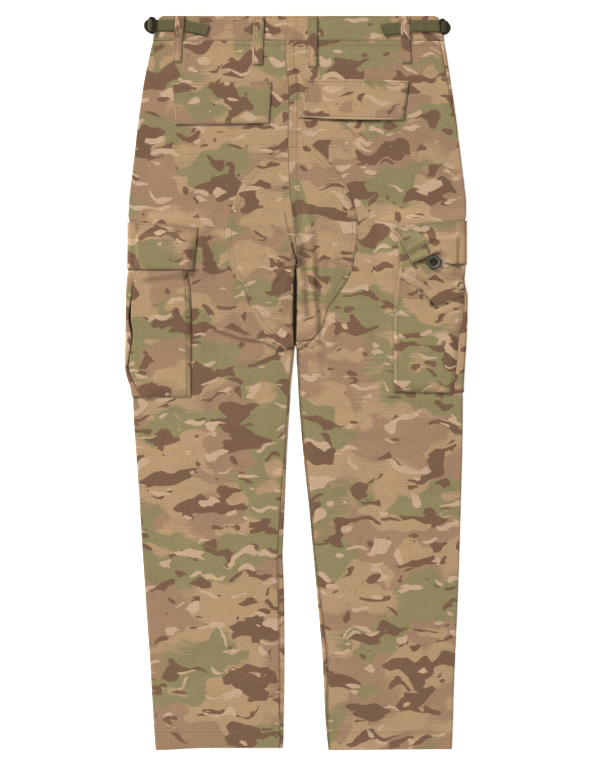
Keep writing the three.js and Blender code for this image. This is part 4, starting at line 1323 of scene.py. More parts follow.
def flap_puff(leg, x, y):
    pocket = CARGO_POCKETS[leg]
    out = pocket["out"]
    over_inner = soft(-15, 2, out * (x - line(pocket["inner"], np.minimum(y, POCKET_TOP))))
    over_top = 1 - soft(POCKET_TOP + 2, POCKET_TOP + 14, y)
    at_pleat = soft(-5.6, -0.2, out * (line(pocket["pleat"], y) - x))
    over_back, over_front = STEP + POCKET_PUFF + 0.4, STEP
    return (
        between(over_front, over_back, at_pleat) * over_inner * over_top + over_front * (1 - over_top)
        * (1 - at_pleat)
    )


# Where the right flap's corner turns up: a fold across the corner, and the curled edge over the button
FLAP_CREASES = {
    "left": [(-236, 176, -206, 186, 0.15, 8), (-196, 172, -160, 180, -0.2, 7)],
    "right": [
        (158, 190, 196, 214, 0.8, 4),
        (168, 176, 206, 192, 1.2, 3.6),
        (200, 196, 212, 190, 1.2, 4),
        (163, 184, 200, 204, -1.0, 3.6),
        (208, 200, 216, 184, -0.7, 3),
        (200, 216, 236, 208, 0.35, 7),
        (216, 182, 240, 178, -0.3, 5),
    ],
}


def flap_height(leg):
    def height(x, y):
        fine = crests(FLAP_CREASES[leg], x, y) + 0.1 * swell(x, y, 51 if leg == "left" else 52, 36)
        return back_face(x, y) + LAYER_GAP + CLOTH + flap_puff(leg, x, y) + fine

    return height


def cargo_flap(leg):
    pocket = CARGO_POCKETS[leg]
    out = pocket["out"]
    table = CARGO_FLAPS[leg]
    height = flap_height(leg)
    radius = FOLD_RADIUS + 2 * STEP
    turn = math.pi * radius
    upper, lower, inner = (flap_outline(leg, edge) for edge in ("upper", "lower", "inner"))
    split = 0.62

    def low(x, y):
        return CLOTH / 2 + 0 * x

    def high(x, y):
        return back_face(x, y) + LAYER_GAP + CLOTH / 2 + STEP

    def place(u, v):
        t = u if out > 0 else 1 - u
        down = 1 - v
        seen = np.clip(t / split, 0, 1)
        x = between(line(table, seen, 1), line(table, seen, 3), down)
        y = between(line(table, seen, 2), line(table, seen, 4), down)
        end_y = between(table[-1][2], table[-1][4], down)
        x_side = pocket_side_x(leg, np.maximum(end_y, 165)) + out * STEP
        past = np.clip((t - split) / (1 - split), 0, 1)
        flat = POCKET_FRONT_DEPTH + 2 - radius
        start = turn + np.abs(x_side - table[-1][1]) - radius
        s = start - graded(past, 0.62, 0.05, start + flat, turn + 10, 2)
        rx, rz, rnx, rnz = round_side(x_side, out, radius, low, high, s, end_y)
        on_seen = t <= split
        move = CLOTH / 2
        z_seen = height(x, y)
        blend_top = soft(0.9, 1, seen)
        join = CLOTH / 2 + high(x, y)
        z_seen = between(z_seen, np.minimum(z_seen, join + 2.5), blend_top)
        far = np.minimum(path_distance(x, y, lower), path_distance(x, y, inner))
        top = path_distance(x, y, upper)
        rows = groove(far - 2.4, 1.1) + groove(top - 2.4, 1)
        z_seen = z_seen - 0.2 * rows - 0.45 * groove(far, 0.9) - 0.5 * groove(top, 1.2)
        # The sewn top edge and creases are painted dark, partly as painted shade; the free lower and inner
        # edges get a painted highlight
        shade = 0.25 * rows + 0.5 * groove(top, 0.8) - 0.6 * groove(far - 0.5, 0.8)
        shade = shade + hollow(crests(FLAP_CREASES[leg], x, y))
        end_far = end_y - table[-1][4]
        side_rows = groove(end_far - 2.4, 1.1)
        return surface(
            np.where(on_seen, x, rx + rnx * move),
            np.where(on_seen, y, end_y),
            np.where(on_seen, z_seen, rz + rnz * move),
            np.where(on_seen, 0, rnx),
            np.where(on_seen, 1, rnz),
            np.where(on_seen, x, x_side - out * radius + out * (turn - s)),
            np.where(on_seen, shade, 0.3 * side_rows),
        )

    return place


# Making the cloth


def new_object(name, data):
    made = bpy.data.objects.new(name, data)
    bpy.context.scene.collection.objects.link(made)
    return made


def smooth_shaded(mesh):
    mesh.polygons.foreach_set("use_smooth", np.ones(len(mesh.polygons), bool))
    mesh.update()


def cloth_piece(
    name, place, columns, rows, thickness, offset=(0, 0), turn=0.0
):
    """A sheet laid out from a flat grid: each point goes to its place, and the cloth gets its thickness."""
    shell = bmesh.new()
    bmesh.ops.create_grid(shell, x_segments=columns, y_segments=rows, size=0.5)
    mesh = bpy.data.meshes.new(name)
    shell.to_mesh(mesh)
    shell.free()
    co = np.empty(len(mesh.vertices) * 3)
    mesh.vertices.foreach_get("co", co)
    u, v = np.clip(co.reshape(-1, 3)[:, 0] + 0.5, 0, 1), np.clip(co.reshape(-1, 3)[:, 1] + 0.5, 0, 1)
    points = place(u, v)
    co = np.column_stack((points["x"], points["y"], points["z"])) * MM
    mesh.vertices.foreach_set("co", co.ravel())
    corner = np.empty(len(mesh.loops), int)
    mesh.loops.foreach_get("vertex_index", corner)
    flat = np.column_stack((points["across"], points["y"])) * MM
    cos, sin = math.cos(turn), math.sin(turn)
    flat = flat @ np.array([[cos, sin], [-sin, cos]]) + np.array(offset)
    layer = mesh.uv_layers.new(name="cloth")
    layer.data.foreach_set("uv", flat[corner].ravel())
    shade = mesh.attributes.new("shade", "FLOAT", "POINT")
    shade.data.foreach_set("value", np.clip(points["shade"], -1, 1).astype(np.float32))
    smooth_shaded(mesh)
    piece = new_object(name, mesh)
    wall = piece.modifiers.new("thickness", "SOLIDIFY")
    wall.thickness = thickness * MM
    wall.offset = -1
    node = name.removesuffix("_cloth")
    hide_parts(node)
    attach(piece, "root")
    return piece


# Stitches

def stitch_template():
    """One stitch as a low pillow of thread, one long, wide and high."""
    stitch = bmesh.new()
    bmesh.ops.create_cube(stitch, size=1)
    top = [vert for vert in stitch.verts if vert.co.z > 0]
    bmesh.ops.scale(stitch, vec=(0.72, 0.55, 1), verts=top)
    bmesh.ops.scale(stitch, vec=(1, 0.95, 1), verts=stitch.verts)
    mesh = bpy.data.meshes.new("stitch")
    stitch.to_mesh(mesh)
    stitch.free()
    points = np.empty(len(mesh.vertices) * 3)
    mesh.vertices.foreach_get("co", points)
    faces = np.array([tuple(face.vertices) for face in mesh.polygons])
    bpy.data.meshes.remove(mesh)
    return points.reshape(-1, 3), faces


STITCH_POINTS, STITCH_FACES = stitch_template()


def stitch_row(path, height, pitch=STITCH_PITCH, sink=0.12):
    """Stitches along a path on the cloth: their middles, directions and facings."""
    points = np.array(path, float)
    way = np.concatenate(([0], np.cumsum(np.hypot(*np.diff(points, axis=0).T))))
    count = max(int(way[-1] / pitch), 1)
    middles = (np.arange(count) + 0.5) * way[-1] / count
    x, y = (np.interp(middles, way, points[:, k]) for k in (0, 1))
    ahead = np.interp(middles + 0.4, way, points[:, 0]), np.interp(middles + 0.4, way, points[:, 1])
    back = np.interp(middles - 0.4, way, points[:, 0]), np.interp(middles - 0.4, way, points[:, 1])
    z, z_ahead, z_back = height(x, y), height(*ahead), height(*back)
    along = np.column_stack((ahead[0] - back[0], ahead[1] - back[1], z_ahead - z_back))
    along /= np.linalg.norm(along, axis=1, keepdims=True)
    side_x, side_y = x - along[:, 1] * 0.5, y + along[:, 0] * 0.5
    side = np.column_stack((-along[:, 1] * 0.5, along[:, 0] * 0.5, height(side_x, side_y) - z))
    side /= np.linalg.norm(side, axis=1, keepdims=True)
    face = np.cross(along, side)
    face /= np.linalg.norm(face, axis=1, keepdims=True)
    return np.column_stack((x, y, z - sink)) + 0.5 * STITCH_HEIGHT * face, along, side, face


def stitching(name, rows, length=STITCH_LENGTH, material=None):
    """All stitches of some rows as one joined mesh."""
    middle, along, side, face = (np.concatenate(parts) for parts in zip(*rows))
    local = STITCH_POINTS * (length, STITCH_WIDTH, STITCH_HEIGHT)
    places = (
        middle[:, None] + local[None, :, 0:1] * along[:, None] + local[None, :, 1:2] * side[:, None]
        + local[None, :, 2:3] * face[:, None]
    )
    faces = STITCH_FACES[None] + (np.arange(len(middle)) * len(local))[:, None, None]
    mesh = bpy.data.meshes.new(name)
    mesh.from_pydata((places.reshape(-1, 3) * MM).tolist(), [], faces.reshape(-1, 4).tolist())
    smooth_shaded(mesh)
    piece = new_object(name, mesh)
    piece.data.materials.append(material or thread)
    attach(piece, "root")
    return piece


# Materials

def linear(colour):
    """A daylight colour of 0 to 255 as Blender's linear red, green, blue and alpha."""
    parts = [c / 255 for c in colour]
    return tuple(DYE * (p / 12.92 if p <= 0.04045 else ((p + 0.055) / 1.055) ** 2.4) for p in parts) + (1.0,)


class Nodes:
    """Short calls for building a material's node tree."""

    def __init__(self, name):
        self.material = bpy.data.materials.new(name)
        self.material.use_nodes = True
        self.tree = self.material.node_tree
        self.shader = self.tree.nodes["Principled BSDF"]

    def add(self, kind, inputs=None, **settings):
        node = self.tree.nodes.new(kind)
        for key, value in settings.items():
            setattr(node, key, value)
        for key, value in (inputs or {}).items():
            self.put(node.inputs[key], value)
        return node

    def put(self, socket, value):
        if isinstance(value, bpy.types.NodeSocket):
            self.tree.links.new(value, socket)
        else:
            socket.default_value = value

    def finish(self, roughness, specular):
        """Sets how rough and how shiny the whole surface is."""
        self.shader.inputs["Roughness"].default_value = roughness
        self.shader.inputs["Specular IOR Level"].default_value = specular

    def shade(self):
        """The shade that each point of the mesh carries."""
        return self.add("ShaderNodeAttribute", attribute_name="shade").outputs["Fac"]

    def share(self, value, factor):
        """A value times a factor, kept between 0 and 1."""
        inputs = {0: value, 1: factor}
        return self.add("ShaderNodeMath", inputs, operation="MULTIPLY", use_clamp=True).outputs[0]

    def math(self, operation, a, b=0.0, c=0.0):
        return self.add("ShaderNodeMath", {0: a, 1: b, 2: c}, operation=operation).outputs[0]

    def mix(self, factor, a, b, blend="MIX"):
        node = self.add("ShaderNodeMix", data_type="RGBA", blend_type=blend)
        self.put(node.inputs[0], factor)
        self.put(node.inputs[6], a)
        self.put(node.inputs[7], b)
        return node.outputs[2]

    def noise(self, vector, scale, detail=2.0, roughness=0.5, distortion=0.0):
        inputs = {
            "Vector": vector, "Scale": scale, "Detail": detail, "Roughness": roughness,
            "Distortion": distortion,
        }
        return self.add("ShaderNodeTexNoise", inputs, noise_dimensions="2D").outputs["Fac"]

    def stretched(self, vector, place=(0, 0, 0), turn=0.0, scale=(1, 1, 1)):
        inputs = {"Vector": vector, "Location": place, "Rotation": (0, 0, turn), "Scale": scale}
        return self.add("ShaderNodeMapping", inputs).outputs[0]

    def above(self, value, level, softness):
        inputs = {"Value": value, "From Min": level - softness, "From Max": level + softness}
        return self.add("ShaderNodeMapRange", inputs).outputs[0]

    def bump(self, height, distance, strength=1.0, normal=None):
        inputs = {"Height": height, "Distance": distance, "Strength": strength}
        if normal is not None:
            inputs["Normal"] = normal
        return self.add("ShaderNodeBump", inputs).outputs[0]


RIP_PITCH = 0.0046  # the ripstop's heavier yarns


def printed_ripstop():
    """Ripstop with a printed mottle of five colours, and its heavier yarns every five millimetres or so; the
    mesh's shade paints shade and highlights on it.
    """
    n = Nodes("printed_ripstop")
    uv = n.add("ShaderNodeUVMap", uv_map="cloth").outputs[0]
    wander = n.add(
        "ShaderNodeTexNoise", {"Vector": uv, "Scale": 24.0, "Detail": 1.2, "Roughness": 0.5},
        noise_dimensions="2D"
    )
    centred = n.add(
        "ShaderNodeVectorMath", {0: wander.outputs["Color"], 1: (0.5, 0.5, 0.5)}, operation="SUBTRACT"
    )
    scaled = n.add("ShaderNodeVectorMath", {0: centred.outputs[0], "Scale": 0.034}, operation="SCALE")
    print_uv = n.add("ShaderNodeVectorMath", {0: uv, 1: scaled.outputs[0]}, operation="ADD").outputs[0]
    airbrush = n.above(n.noise(n.stretched(uv, (4.4, 8.1, 0), 0, (1, 1.6, 1)), 14, 1, 0.5), 0.52, 0.06)
    blend_width = n.math("MULTIPLY_ADD", airbrush, 0.06, 0.012)

    streak = n.math(
        "MULTIPLY_ADD", n.noise(n.stretched(uv, (9.1, 5.2, 0), 0, (1, 11, 1)), 34, 2, 0.6), 0.16, -0.08
    )
    streak = n.math("MULTIPLY", streak, airbrush)

    def blobs(scale, place, stretch, level, turn=0.0, detail=1.5, roughness=0.45, width=0.012):
        """Patches where a noise field is over a level; width is how far their edge blends."""
        field = n.noise(n.stretched(print_uv, place, turn, (1, stretch, 1)), scale, detail, roughness)
        if width is blend_width:
            field = n.math("ADD", field, streak)
        over = n.math("DIVIDE", n.math("SUBTRACT", field, level), width)
        return n.add("ShaderNodeMath", {0: over, 1: 0.5}, operation="ADD", use_clamp=True).outputs[0]

    colour = n.mix(blobs(8.2, (3.1, 1.7, 0), 2.0, 0.5, width=blend_width), linear(TAN), linear(LIGHT_BROWN))
    colour = n.mix(blobs(7.4, (7.3, 4.2, 0), 1.9, 0.555, width=blend_width), colour, linear(GREEN))
    colour = n.mix(blobs(17, (5.5, 9.1, 0), 1.5, 0.66, width=blend_width), colour, linear(TAN))
    for scale, place, stretch, level, turn in (
        (15.5, (1.3, 6.4, 0), 2.1, 0.606, 0.06), (28, (2.9, 3.3, 0), 1.9, 0.69, -0.2)
    ):
        colour = n.mix(blobs(scale, place, stretch, level, turn, 1.8), colour, linear(DARK_BROWN))
    for scale, place, stretch, level, turn in (
        (20, (8.8, 2.6, 0), 2.4, 0.685, -0.35), (19, (0.6, 7.7, 0), 2.6, 0.702, 0.7)
    ):
        colour = n.mix(blobs(scale, place, stretch, level, turn, 1.8), colour, linear(CREAM))

    yarn = n.stretched(uv, scale=(1 / RIP_PITCH, 1 / RIP_PITCH, 1))
    parts = n.add("ShaderNodeSeparateXYZ", {0: yarn})
    heavy = []
    for axis, strength in ((0, 0.7), (1, 1.0)):
        line_ = n.math("PINGPONG", parts.outputs[axis], 0.5)
        heavy.append(
            n.add(
                "ShaderNodeMapRange",
                {"Value": line_, "From Min": 0.02, "From Max": 0.12, "To Min": strength, "To Max": 0.0}
            ).outputs[0]
        )
    patchy = n.above(n.noise(uv, 70, 3, 0.65), 0.5, 0.14)
    grid = n.math("MULTIPLY", n.math("MAXIMUM", *heavy), n.math("MULTIPLY_ADD", patchy, 0.75, 0.25))
    across = n.noise(n.stretched(uv, scale=(1, 1.9, 1)), 380, 3, 0.75)
    upright = n.noise(n.stretched(uv, (2.2, 1.1, 0), 0, (1.8, 1, 1)), 420, 3, 0.75)
    faded = n.noise(uv, 12, 3, 0.6)
    colour = n.mix(n.math("MULTIPLY", grid, 0.27), colour, linear(HEAVY_YARN))
    light = n.math("MULTIPLY_ADD", across, 0.86, 0.585)
    light = n.math("ADD", light, n.math("MULTIPLY_ADD", upright, 0.5, -0.25))
    light = n.math("ADD", light, n.math("MULTIPLY_ADD", faded, 0.14, -0.07))
    # The colour grows a little darker towards the waistband
    place = n.add("ShaderNodeSeparateXYZ", {0: n.add("ShaderNodeTexCoord").outputs["Object"]}).outputs[1]
    darker_towards_top = n.add(
        "ShaderNodeMapRange",
        {"Value": place, "From Min": -0.05, "From Max": 0.3, "To Min": 0.0, "To Max": -0.03}
    ).outputs[0]
    light = n.math("ADD", light, darker_towards_top)
    colour = n.mix(
        1.0, colour, n.add("ShaderNodeCombineColor", {k: light for k in range(3)}).outputs[0], "MULTIPLY"
    )
    # The mesh's shade paints shade towards brown, painted highlights towards pale tan where it is under 0,
    # and deep shade towards near black as it nears 1
    shade = n.shade()
    dark_share = n.share(shade, 0.6)
    painted_highlight_share = n.share(shade, -0.78)
    deep_share = n.math("MULTIPLY", n.math("POWER", n.math("MAXIMUM", shade, 0.0), 5.0), 0.97)
    colour = n.mix(dark_share, colour, linear(PAINTED_SHADE_BROWN))
    colour = n.mix(painted_highlight_share, colour, linear(PAINTED_HIGHLIGHT_TAN))
    colour = n.mix(deep_share, colour, linear(PAINTED_DEEP_SHADE))
    n.put(n.shader.inputs["Base Color"], colour)
    n.finish(roughness=0.92, specular=0.08)
    n.shader.inputs["Sheen Weight"].default_value = 0.04
    n.shader.inputs["Sheen Roughness"].default_value = 0.5
    weave = n.math("ADD", n.math("MULTIPLY", grid, 0.5), n.math("MULTIPLY", across, 0.7))
    n.put(n.shader.inputs["Normal"], n.bump(weave, 0.00014, 0.8))
    return n.material


def olive_webbing():
    n = Nodes("olive_webbing")
    uv = n.add("ShaderNodeUVMap", uv_map="cloth").outputs[0]
    ribs = n.add(
        "ShaderNodeTexWave",
        {"Vector": uv, "Scale": 105.0, "Distortion": 0.6, "Detail": 1.0, "Detail Scale": 3.0},
        bands_direction="X"
    ).outputs["Fac"]
    cross = n.add(
        "ShaderNodeTexWave", {"Vector": uv, "Scale": 190.0, "Distortion": 0.8, "Detail": 1.0},
        bands_direction="Y"
    ).outputs["Fac"]
    fleck = n.noise(uv, 900, 2, 0.6)
    colour = n.mix(n.math("MULTIPLY", ribs, 0.45), linear(WEBBING_OLIVE), linear(WEBBING_GROOVE))
    colour = n.mix(n.math("MULTIPLY", fleck, 0.3), colour, linear(WEBBING_FLECK))
    shade = n.shade()
    colour = n.mix(n.math("MULTIPLY", shade, 0.85), colour, linear(WEBBING_SHADE))
    n.put(n.shader.inputs["Base Color"], colour)
    n.finish(0.82, 0.2)
    weave = n.math("ADD", ribs, n.math("MULTIPLY", cross, 0.4))
    n.put(n.shader.inputs["Normal"], n.bump(weave, 0.0002, 0.8))
    return n.material


def sewing_thread(name, dark, pale):
    n = Nodes(name)
    place = n.add("ShaderNodeTexCoord").outputs["Object"]
    twist = n.noise(place, 1400, 2, 0.6)
    n.put(n.shader.inputs["Base Color"], n.mix(twist, linear(dark), linear(pale)))
    n.finish(0.75, 0.25)
    n.put(n.shader.inputs["Normal"], n.bump(twist, 0.0001, 0.5))
    return n.material


def moulded(name, colour, wear, roughness, rim=None):
    """Moulded plastic with a fine grain and paler worn patches; rim is the colour of a painted highlight on
    a raised ring, and with a rim the mesh's shade also paints deep shade where it is 1.
    """
    n = Nodes(name)
    place = n.add("ShaderNodeTexCoord").outputs["Object"]
    grain = n.noise(place, 1800, 2, 0.6)
    patches = n.above(n.noise(place, 160, 3, 0.6), 0.56, 0.08)
    mixed = n.mix(n.math("MULTIPLY", patches, 0.5), linear(colour), linear(wear))
    if rim:
        shade = n.shade()
        # Painted highlight on the raised ring and painted shade at the bottoms of the holes
        raised = n.share(shade, -0.85)
        sunk = n.share(shade, 1.0)
        mixed = n.mix(sunk, n.mix(raised, mixed, linear(rim)), linear(BUTTON_HOLE_SHADE))
    n.put(n.shader.inputs["Base Color"], mixed)
    n.finish(roughness, 0.16)
    n.put(n.shader.inputs["Normal"], n.bump(grain, 0.00005, 0.5))
    return n.material


ripstop = printed_ripstop()
webbing = olive_webbing()
thread = sewing_thread("sewing_thread", THREAD, THREAD_PALE)
buckle_plastic = moulded("buckle_plastic", BUCKLE_BLACK, BUCKLE_WORN, 0.5)
button_plastic = moulded("button_plastic", BUTTON_BROWN, BUTTON_WORN, 0.5, BUTTON_RIM_HIGHLIGHT)
button_thread = sewing_thread("button_thread", BUTTON_THREAD, BUTTON_THREAD_PALE)


# The pieces

def add_cloth(
    name, place, columns, rows, thickness, offset, turn=0.0, material=None,
):
    piece = cloth_piece(name + "_cloth", place, columns, rows, thickness, offset, turn)
    piece.data.materials.append(material or ripstop)
    return piece


for leg, shift in (("left", 0.0), ("right", 0.9)):
    add_cloth(f"front_panel_{leg}", front_panel(leg), 56, 170, 1.1, (2.3 + shift, 0.4))
    add_cloth(
        f"back_panel_{leg}", back_panel(leg), 112, 330, 1.1, (0.1 + shift * 0.7, 0.3 * shift),
    )
    add_cloth(
        f"seat_patch_{leg}", seat_patch(leg), 84, 190, PATCH_CLOTH, (3.4 + shift, 1.3), 0.05,
    )
    add_cloth(f"hip_flap_{leg}", hip_flap(leg), 76, 34, 1.3, (4.5 + shift, 2.6), 0.0)
    add_cloth(
        f"cargo_pocket_front_{leg}", cargo_pocket_front(leg), 60, 110, 1.1, (6.5 + shift, 1.1), 0.0,
    )
    add_cloth(
        f"cargo_pocket_back_{leg}", cargo_pocket_back(leg), 62, 190, 1.1, (7.1 + 1.9 * shift, 3.3), 0.0,
    )
    add_cloth(
        f"cargo_flap_{leg}", cargo_flap(leg), 104, 42, 1.15, (8.2 + shift, 0.7), 0.0,
    )
    add_cloth(
        f"waistband_front_{leg}", waistband_front(leg), 60, 24, 1.8, (9.4 + shift, 2.2), 0.0
    )
add_cloth(
    "waistband_back", waistband_back, 220, 38, 1.8, (5.8, 3.9), 0.0,
)
add_cloth("fly_placket", placket, 14, 60, 1.1, (1.9, 6.2), 0.0)
for number, name in enumerate(BELT_LOOPS):
    add_cloth(name, belt_loop(name), 20, 90, 1.3, (0.7 * number, 7.7), 1.2)
for leg in SIDE_STRAPS:
    add_cloth(
        f"side_strap_{leg}", side_strap(leg), 16, 360, 1.2, (0, 0), 0.0, webbing,
    )


def slide_buckle(leg, loop):
    """A moulded loop with a round section and a bar across it, which the webbing turns over."""
    name = f"slide_buckle_{leg}_frame"
    curve = bpy.data.curves.new(name, "CURVE")
    curve.dimensions, curve.bevel_depth, curve.bevel_resolution, curve.resolution_u = "3D", MM, 5, 10
    curve.use_fill_caps = True
    ring = curve.splines.new("NURBS")
    ring.points.add(len(loop) - 1)
    ring.use_cyclic_u, ring.order_u = True, 3
    for point, (x, y, z, radius) in zip(ring.points, loop):
        point.co, point.radius = (x * MM, y * MM, z * MM, 1), radius
    xs, ys, zs, _ = np.array(loop).T
    bar = curve.splines.new("POLY")
    bar.points.add(1)
    middle = (xs.min() + xs.max()) / 2
    for point, y in zip(bar.points, (ys.min() + 1.6, ys.max() - 1.4)):
        point.co, point.radius = (middle * MM, y * MM, zs.mean() * MM, 1), BUCKLE_BAR_RADIUS
    drawn = new_object(name, curve)
    bpy.context.view_layer.update()
    mesh = bpy.data.meshes.new_from_object(drawn.evaluated_get(bpy.context.evaluated_depsgraph_get()))
    bpy.data.objects.remove(drawn)
    mesh.name = name
    smooth_shaded(mesh)
    mesh.materials.clear()
    piece = new_object(name, mesh)
    piece.data.materials.append(buckle_plastic)
    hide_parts(f"slide_buckle_{leg}")
    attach(piece, "root")


for leg, loop in BUCKLE_LOOPS.items():
    slide_buckle(leg, loop)


def cargo_button():
    """A dished button with a raised rim and four holes, turned about its middle."""
    low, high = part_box("cargo_button")
    middle = (low + high) / 2
    profile = [
        (0, 1.1), (4.6, 1.1), (5.6, 1.3), (6.6, 2.1), (7.4, 2.8), (8.6, 3.0), (9.6, 2.8), (10.3, 2.1),
        (10.4, 1.2), (9.8, 0.4), (8.4, 0.05), (0, 0.05),
    ]
    turned = bmesh.new()
    verts = [turned.verts.new((radius * MM, 0, height * MM)) for radius, height in profile]
    edges = [turned.edges.new(pair) for pair in zip(verts[:-1], verts[1:])]
    bmesh.ops.spin(
        turned, geom=verts + edges, cent=(0, 0, 0), axis=(0, 0, 1), angle=2 * math.pi, steps=56,
        use_merge=True
    )
    bmesh.ops.remove_doubles(turned, verts=turned.verts, dist=1e-6)
    bmesh.ops.recalc_face_normals(turned, faces=turned.faces)
    bmesh.ops.translate(turned, verts=turned.verts, vec=(middle.x, middle.y, low.z))
    mesh = bpy.data.meshes.new("cargo_button_disc")
    turned.to_mesh(mesh)
    turned.free()
    piece = new_object("cargo_button_disc", mesh)
    holes = bmesh.new()
    for k in range(4):
        angle = math.pi / 4 + k * math.pi / 2
        made = bmesh.ops.create_cone(
            holes, cap_ends=True, segments=20, radius1=1.2 * MM, radius2=1.2 * MM, depth=8 * MM
        )
        place = (
            middle.x + 2.4 * MM * math.cos(angle), middle.y + 2.4 * MM * math.sin(angle), low.z + 4.4 * MM
        )
        bmesh.ops.translate(holes, verts=made["verts"], vec=place)
    cutter_mesh = bpy.data.meshes.new("button_holes")
    holes.to_mesh(cutter_mesh)
    holes.free()
    cutter = new_object("button_holes", cutter_mesh)
    cut = piece.modifiers.new("holes", "BOOLEAN")
    cut.operation, cut.object, cut.solver = "DIFFERENCE", cutter, "EXACT"
    bpy.context.view_layer.update()
    finished = bpy.data.meshes.new_from_object(piece.evaluated_get(bpy.context.evaluated_depsgraph_get()))
    piece.modifiers.clear()
    piece.data = finished
    bpy.data.objects.remove(cutter)
    smooth_shaded(finished)
    finished.set_sharp_from_angle(angle=math.radians(50))
    finished.materials.clear()
    finished.materials.append(button_plastic)
    co = np.empty(len(finished.vertices) * 3)
    finished.vertices.foreach_get("co", co)
    x, y, z = (co.reshape(-1, 3) / MM).T
    far = np.hypot(x - middle.x / MM, y - middle.y / MM)
    # Painted shade at the bottoms of the holes, and a painted highlight round the top of the rim
    sunk = (far < 4.2) & (z < low.z / MM + 0.7) & (z > low.z / MM + 0.2)
    shade = finished.attributes.new("shade", "FLOAT", "POINT")
    shade.data.foreach_set("value", np.where(sunk, 1.0, -groove(far - 7.4, 1.3)).astype(np.float32))
    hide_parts("cargo_button")
    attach(piece, "root")
    return middle, low.z


button_middle, button_base = cargo_button()


# Sewing

def inner_row(leg, past):
    """A line beside the inseam, where the front panel ends on the back."""
    ys = np.linspace(40, LEG_BOTTOM + 1, 160)
    edge = inner_edge(leg, ys)
    sign = -1 if leg == "left" else 1
    return list(zip(edge + sign * (FOLD_RADIUS + line(INSEAM[leg], ys) + past), ys))


def fell_line(off, top, bottom):
    ys = np.linspace(top, bottom, 60)
    return list(zip(centre_back(ys) + off * fell_width(ys) / FELL_WIDTH, ys))


def right_face(x, y):
    return back_face(x, y) + felled(x, y)[0]


def hem_face(x, y):
    return back_face(x, y) + 0.25


def seam_stitches():
    rows = []
    for off in (1.8, FELL_WIDTH / 2, FELL_WIDTH - 1.8):
        rows.append(stitch_row(fell_line(off, BAND_BOTTOM - 1, 346), right_face))
        rows.append(stitch_row(fell_line(off, 343, 186), seat_height))
    below_band = BAND_BOTTOM - SEAM_ROW
    for x0, x1 in (
        (left_edge(below_band) + 3, centre_back(below_band) - 1),
        (centre_back(below_band) + 14, right_edge(below_band) - 8)
    ):
        rows.append(stitch_row([(x, below_band) for x in np.linspace(x0, x1, 50)], back_face))
    for leg in ("left", "right"):
        rows.append(stitch_row(inner_row(leg, 1.6), back_face))
        rows.append(stitch_row(inner_row(leg, -1.7), back_face))
    ys = np.linspace(BAND_BOTTOM - 2, 285, 60)
    side = right_edge(ys) - FOLD_RADIUS - (line(RIGHT_OUTSEAM, ys) - TURN) - 1.6
    rows.append(stitch_row(list(zip(side, ys)), back_face))
    hem = LEG_BOTTOM + HEM_DEPTH - HEM_ROW
    for x0, x1 in ((-202, -27), (52, 225)):
        rows.append(stitch_row([(x, hem) for x in np.linspace(x0, x1, 40)], hem_face))
    return stitching("seam_stitches", rows)


def band_stitches():
    def face(x, y):
        return band_high(x, y) + BAND_CLOTH / 2 - 0.15

    rows = []
    for y in (BAND_TOP - BAND_TOP_ROW, BAND_BOTTOM + BAND_LOW_ROW):
        left, right = band_edge(y, -1) + 4, band_edge(y, 1) - 4
        rows.append(stitch_row([(x, y) for x in np.linspace(left, right, 90)], face))
    return stitching("waistband_stitches", rows)


def patch_stitches():
    rows = []
    for leg in ("left", "right"):
        side = -1 if leg == "right" else 1
        for distance in PATCH_ROWS:
            path = inset(seat_edge(leg), side * distance)
            keep = [(x, y) for x, y in path if (x - centre_back(y)) * -side > 4 and 52 < y < 341]
            rows.append(stitch_row(keep, seat_height))
    return stitching("seat_patch_stitches", rows)


def hip_flap_stitches():
    rows = []
    for leg, (ul, ur, ll, lr) in HIP_FLAPS.items():
        corners = [np.array(p) for p in (ul, ll, lr, ur)]
        middle = sum(corners) / 4
        inner = [c + np.sign(middle - c) * 2.5 for c in corners]
        path = []
        for a, b in zip(inner, inner[1:] + inner[:1]):
            path += [tuple(between(a, b, t)) for t in np.linspace(0, 1, 24)]
        rows.append(stitch_row(path, hip_flap_height(leg)))
    return stitching("hip_flap_stitches", rows)


def cargo_stitches():
    rows = []
    for leg, pocket in CARGO_POCKETS.items():
        out = pocket["out"]
        height = pocket_height(leg)
        below_flap = 160 if leg == "left" else 168
        ys = np.linspace(below_flap, pocket["bottom"] + 3, 50)
        rows.append(stitch_row(list(zip(line(pocket["inner"], ys) + out * POCKET_INNER_ROW, ys)), height))
        x0, x1 = (
            line(pocket["inner"], pocket["bottom"]) + out * 3, line(pocket["pleat"], pocket["bottom"] + 3)
        )
        rows.append(stitch_row([(x, pocket["bottom"] + EDGE_ROW) for x in np.linspace(x0, x1, 30)], height))
        flap = flap_height(leg)
        rows.append(stitch_row(inset(flap_outline(leg, "upper"), -out * 2.4)[:-1], flap))
        rows.append(stitch_row(inset(flap_outline(leg, "lower"), out * 2.4)[:-1], flap))
        rows.append(stitch_row(inset(flap_outline(leg, "inner"), out * 2.4)[1:-1], flap))
    return stitching("cargo_pocket_stitches", rows)


def loop_stitches():
    rows = []
    for name, (top, top_x, bottom, bottom_x, width, _) in BELT_LOOPS.items():
        height = loop_height(name)
        for side in (-1, 1):
            ys = np.linspace(bottom + 1, top - 1, 40)
            shares = (ys - bottom) / (top - bottom)
            xs = (
                between(bottom_x, top_x, shares) + side * (width / 2 - LOOP_ROW) + 0.25
                * np.sin(shares * 7 + top_x)
            )
            rows.append(stitch_row(list(zip(xs, ys)), height))
    return stitching("belt_loop_stitches", rows)


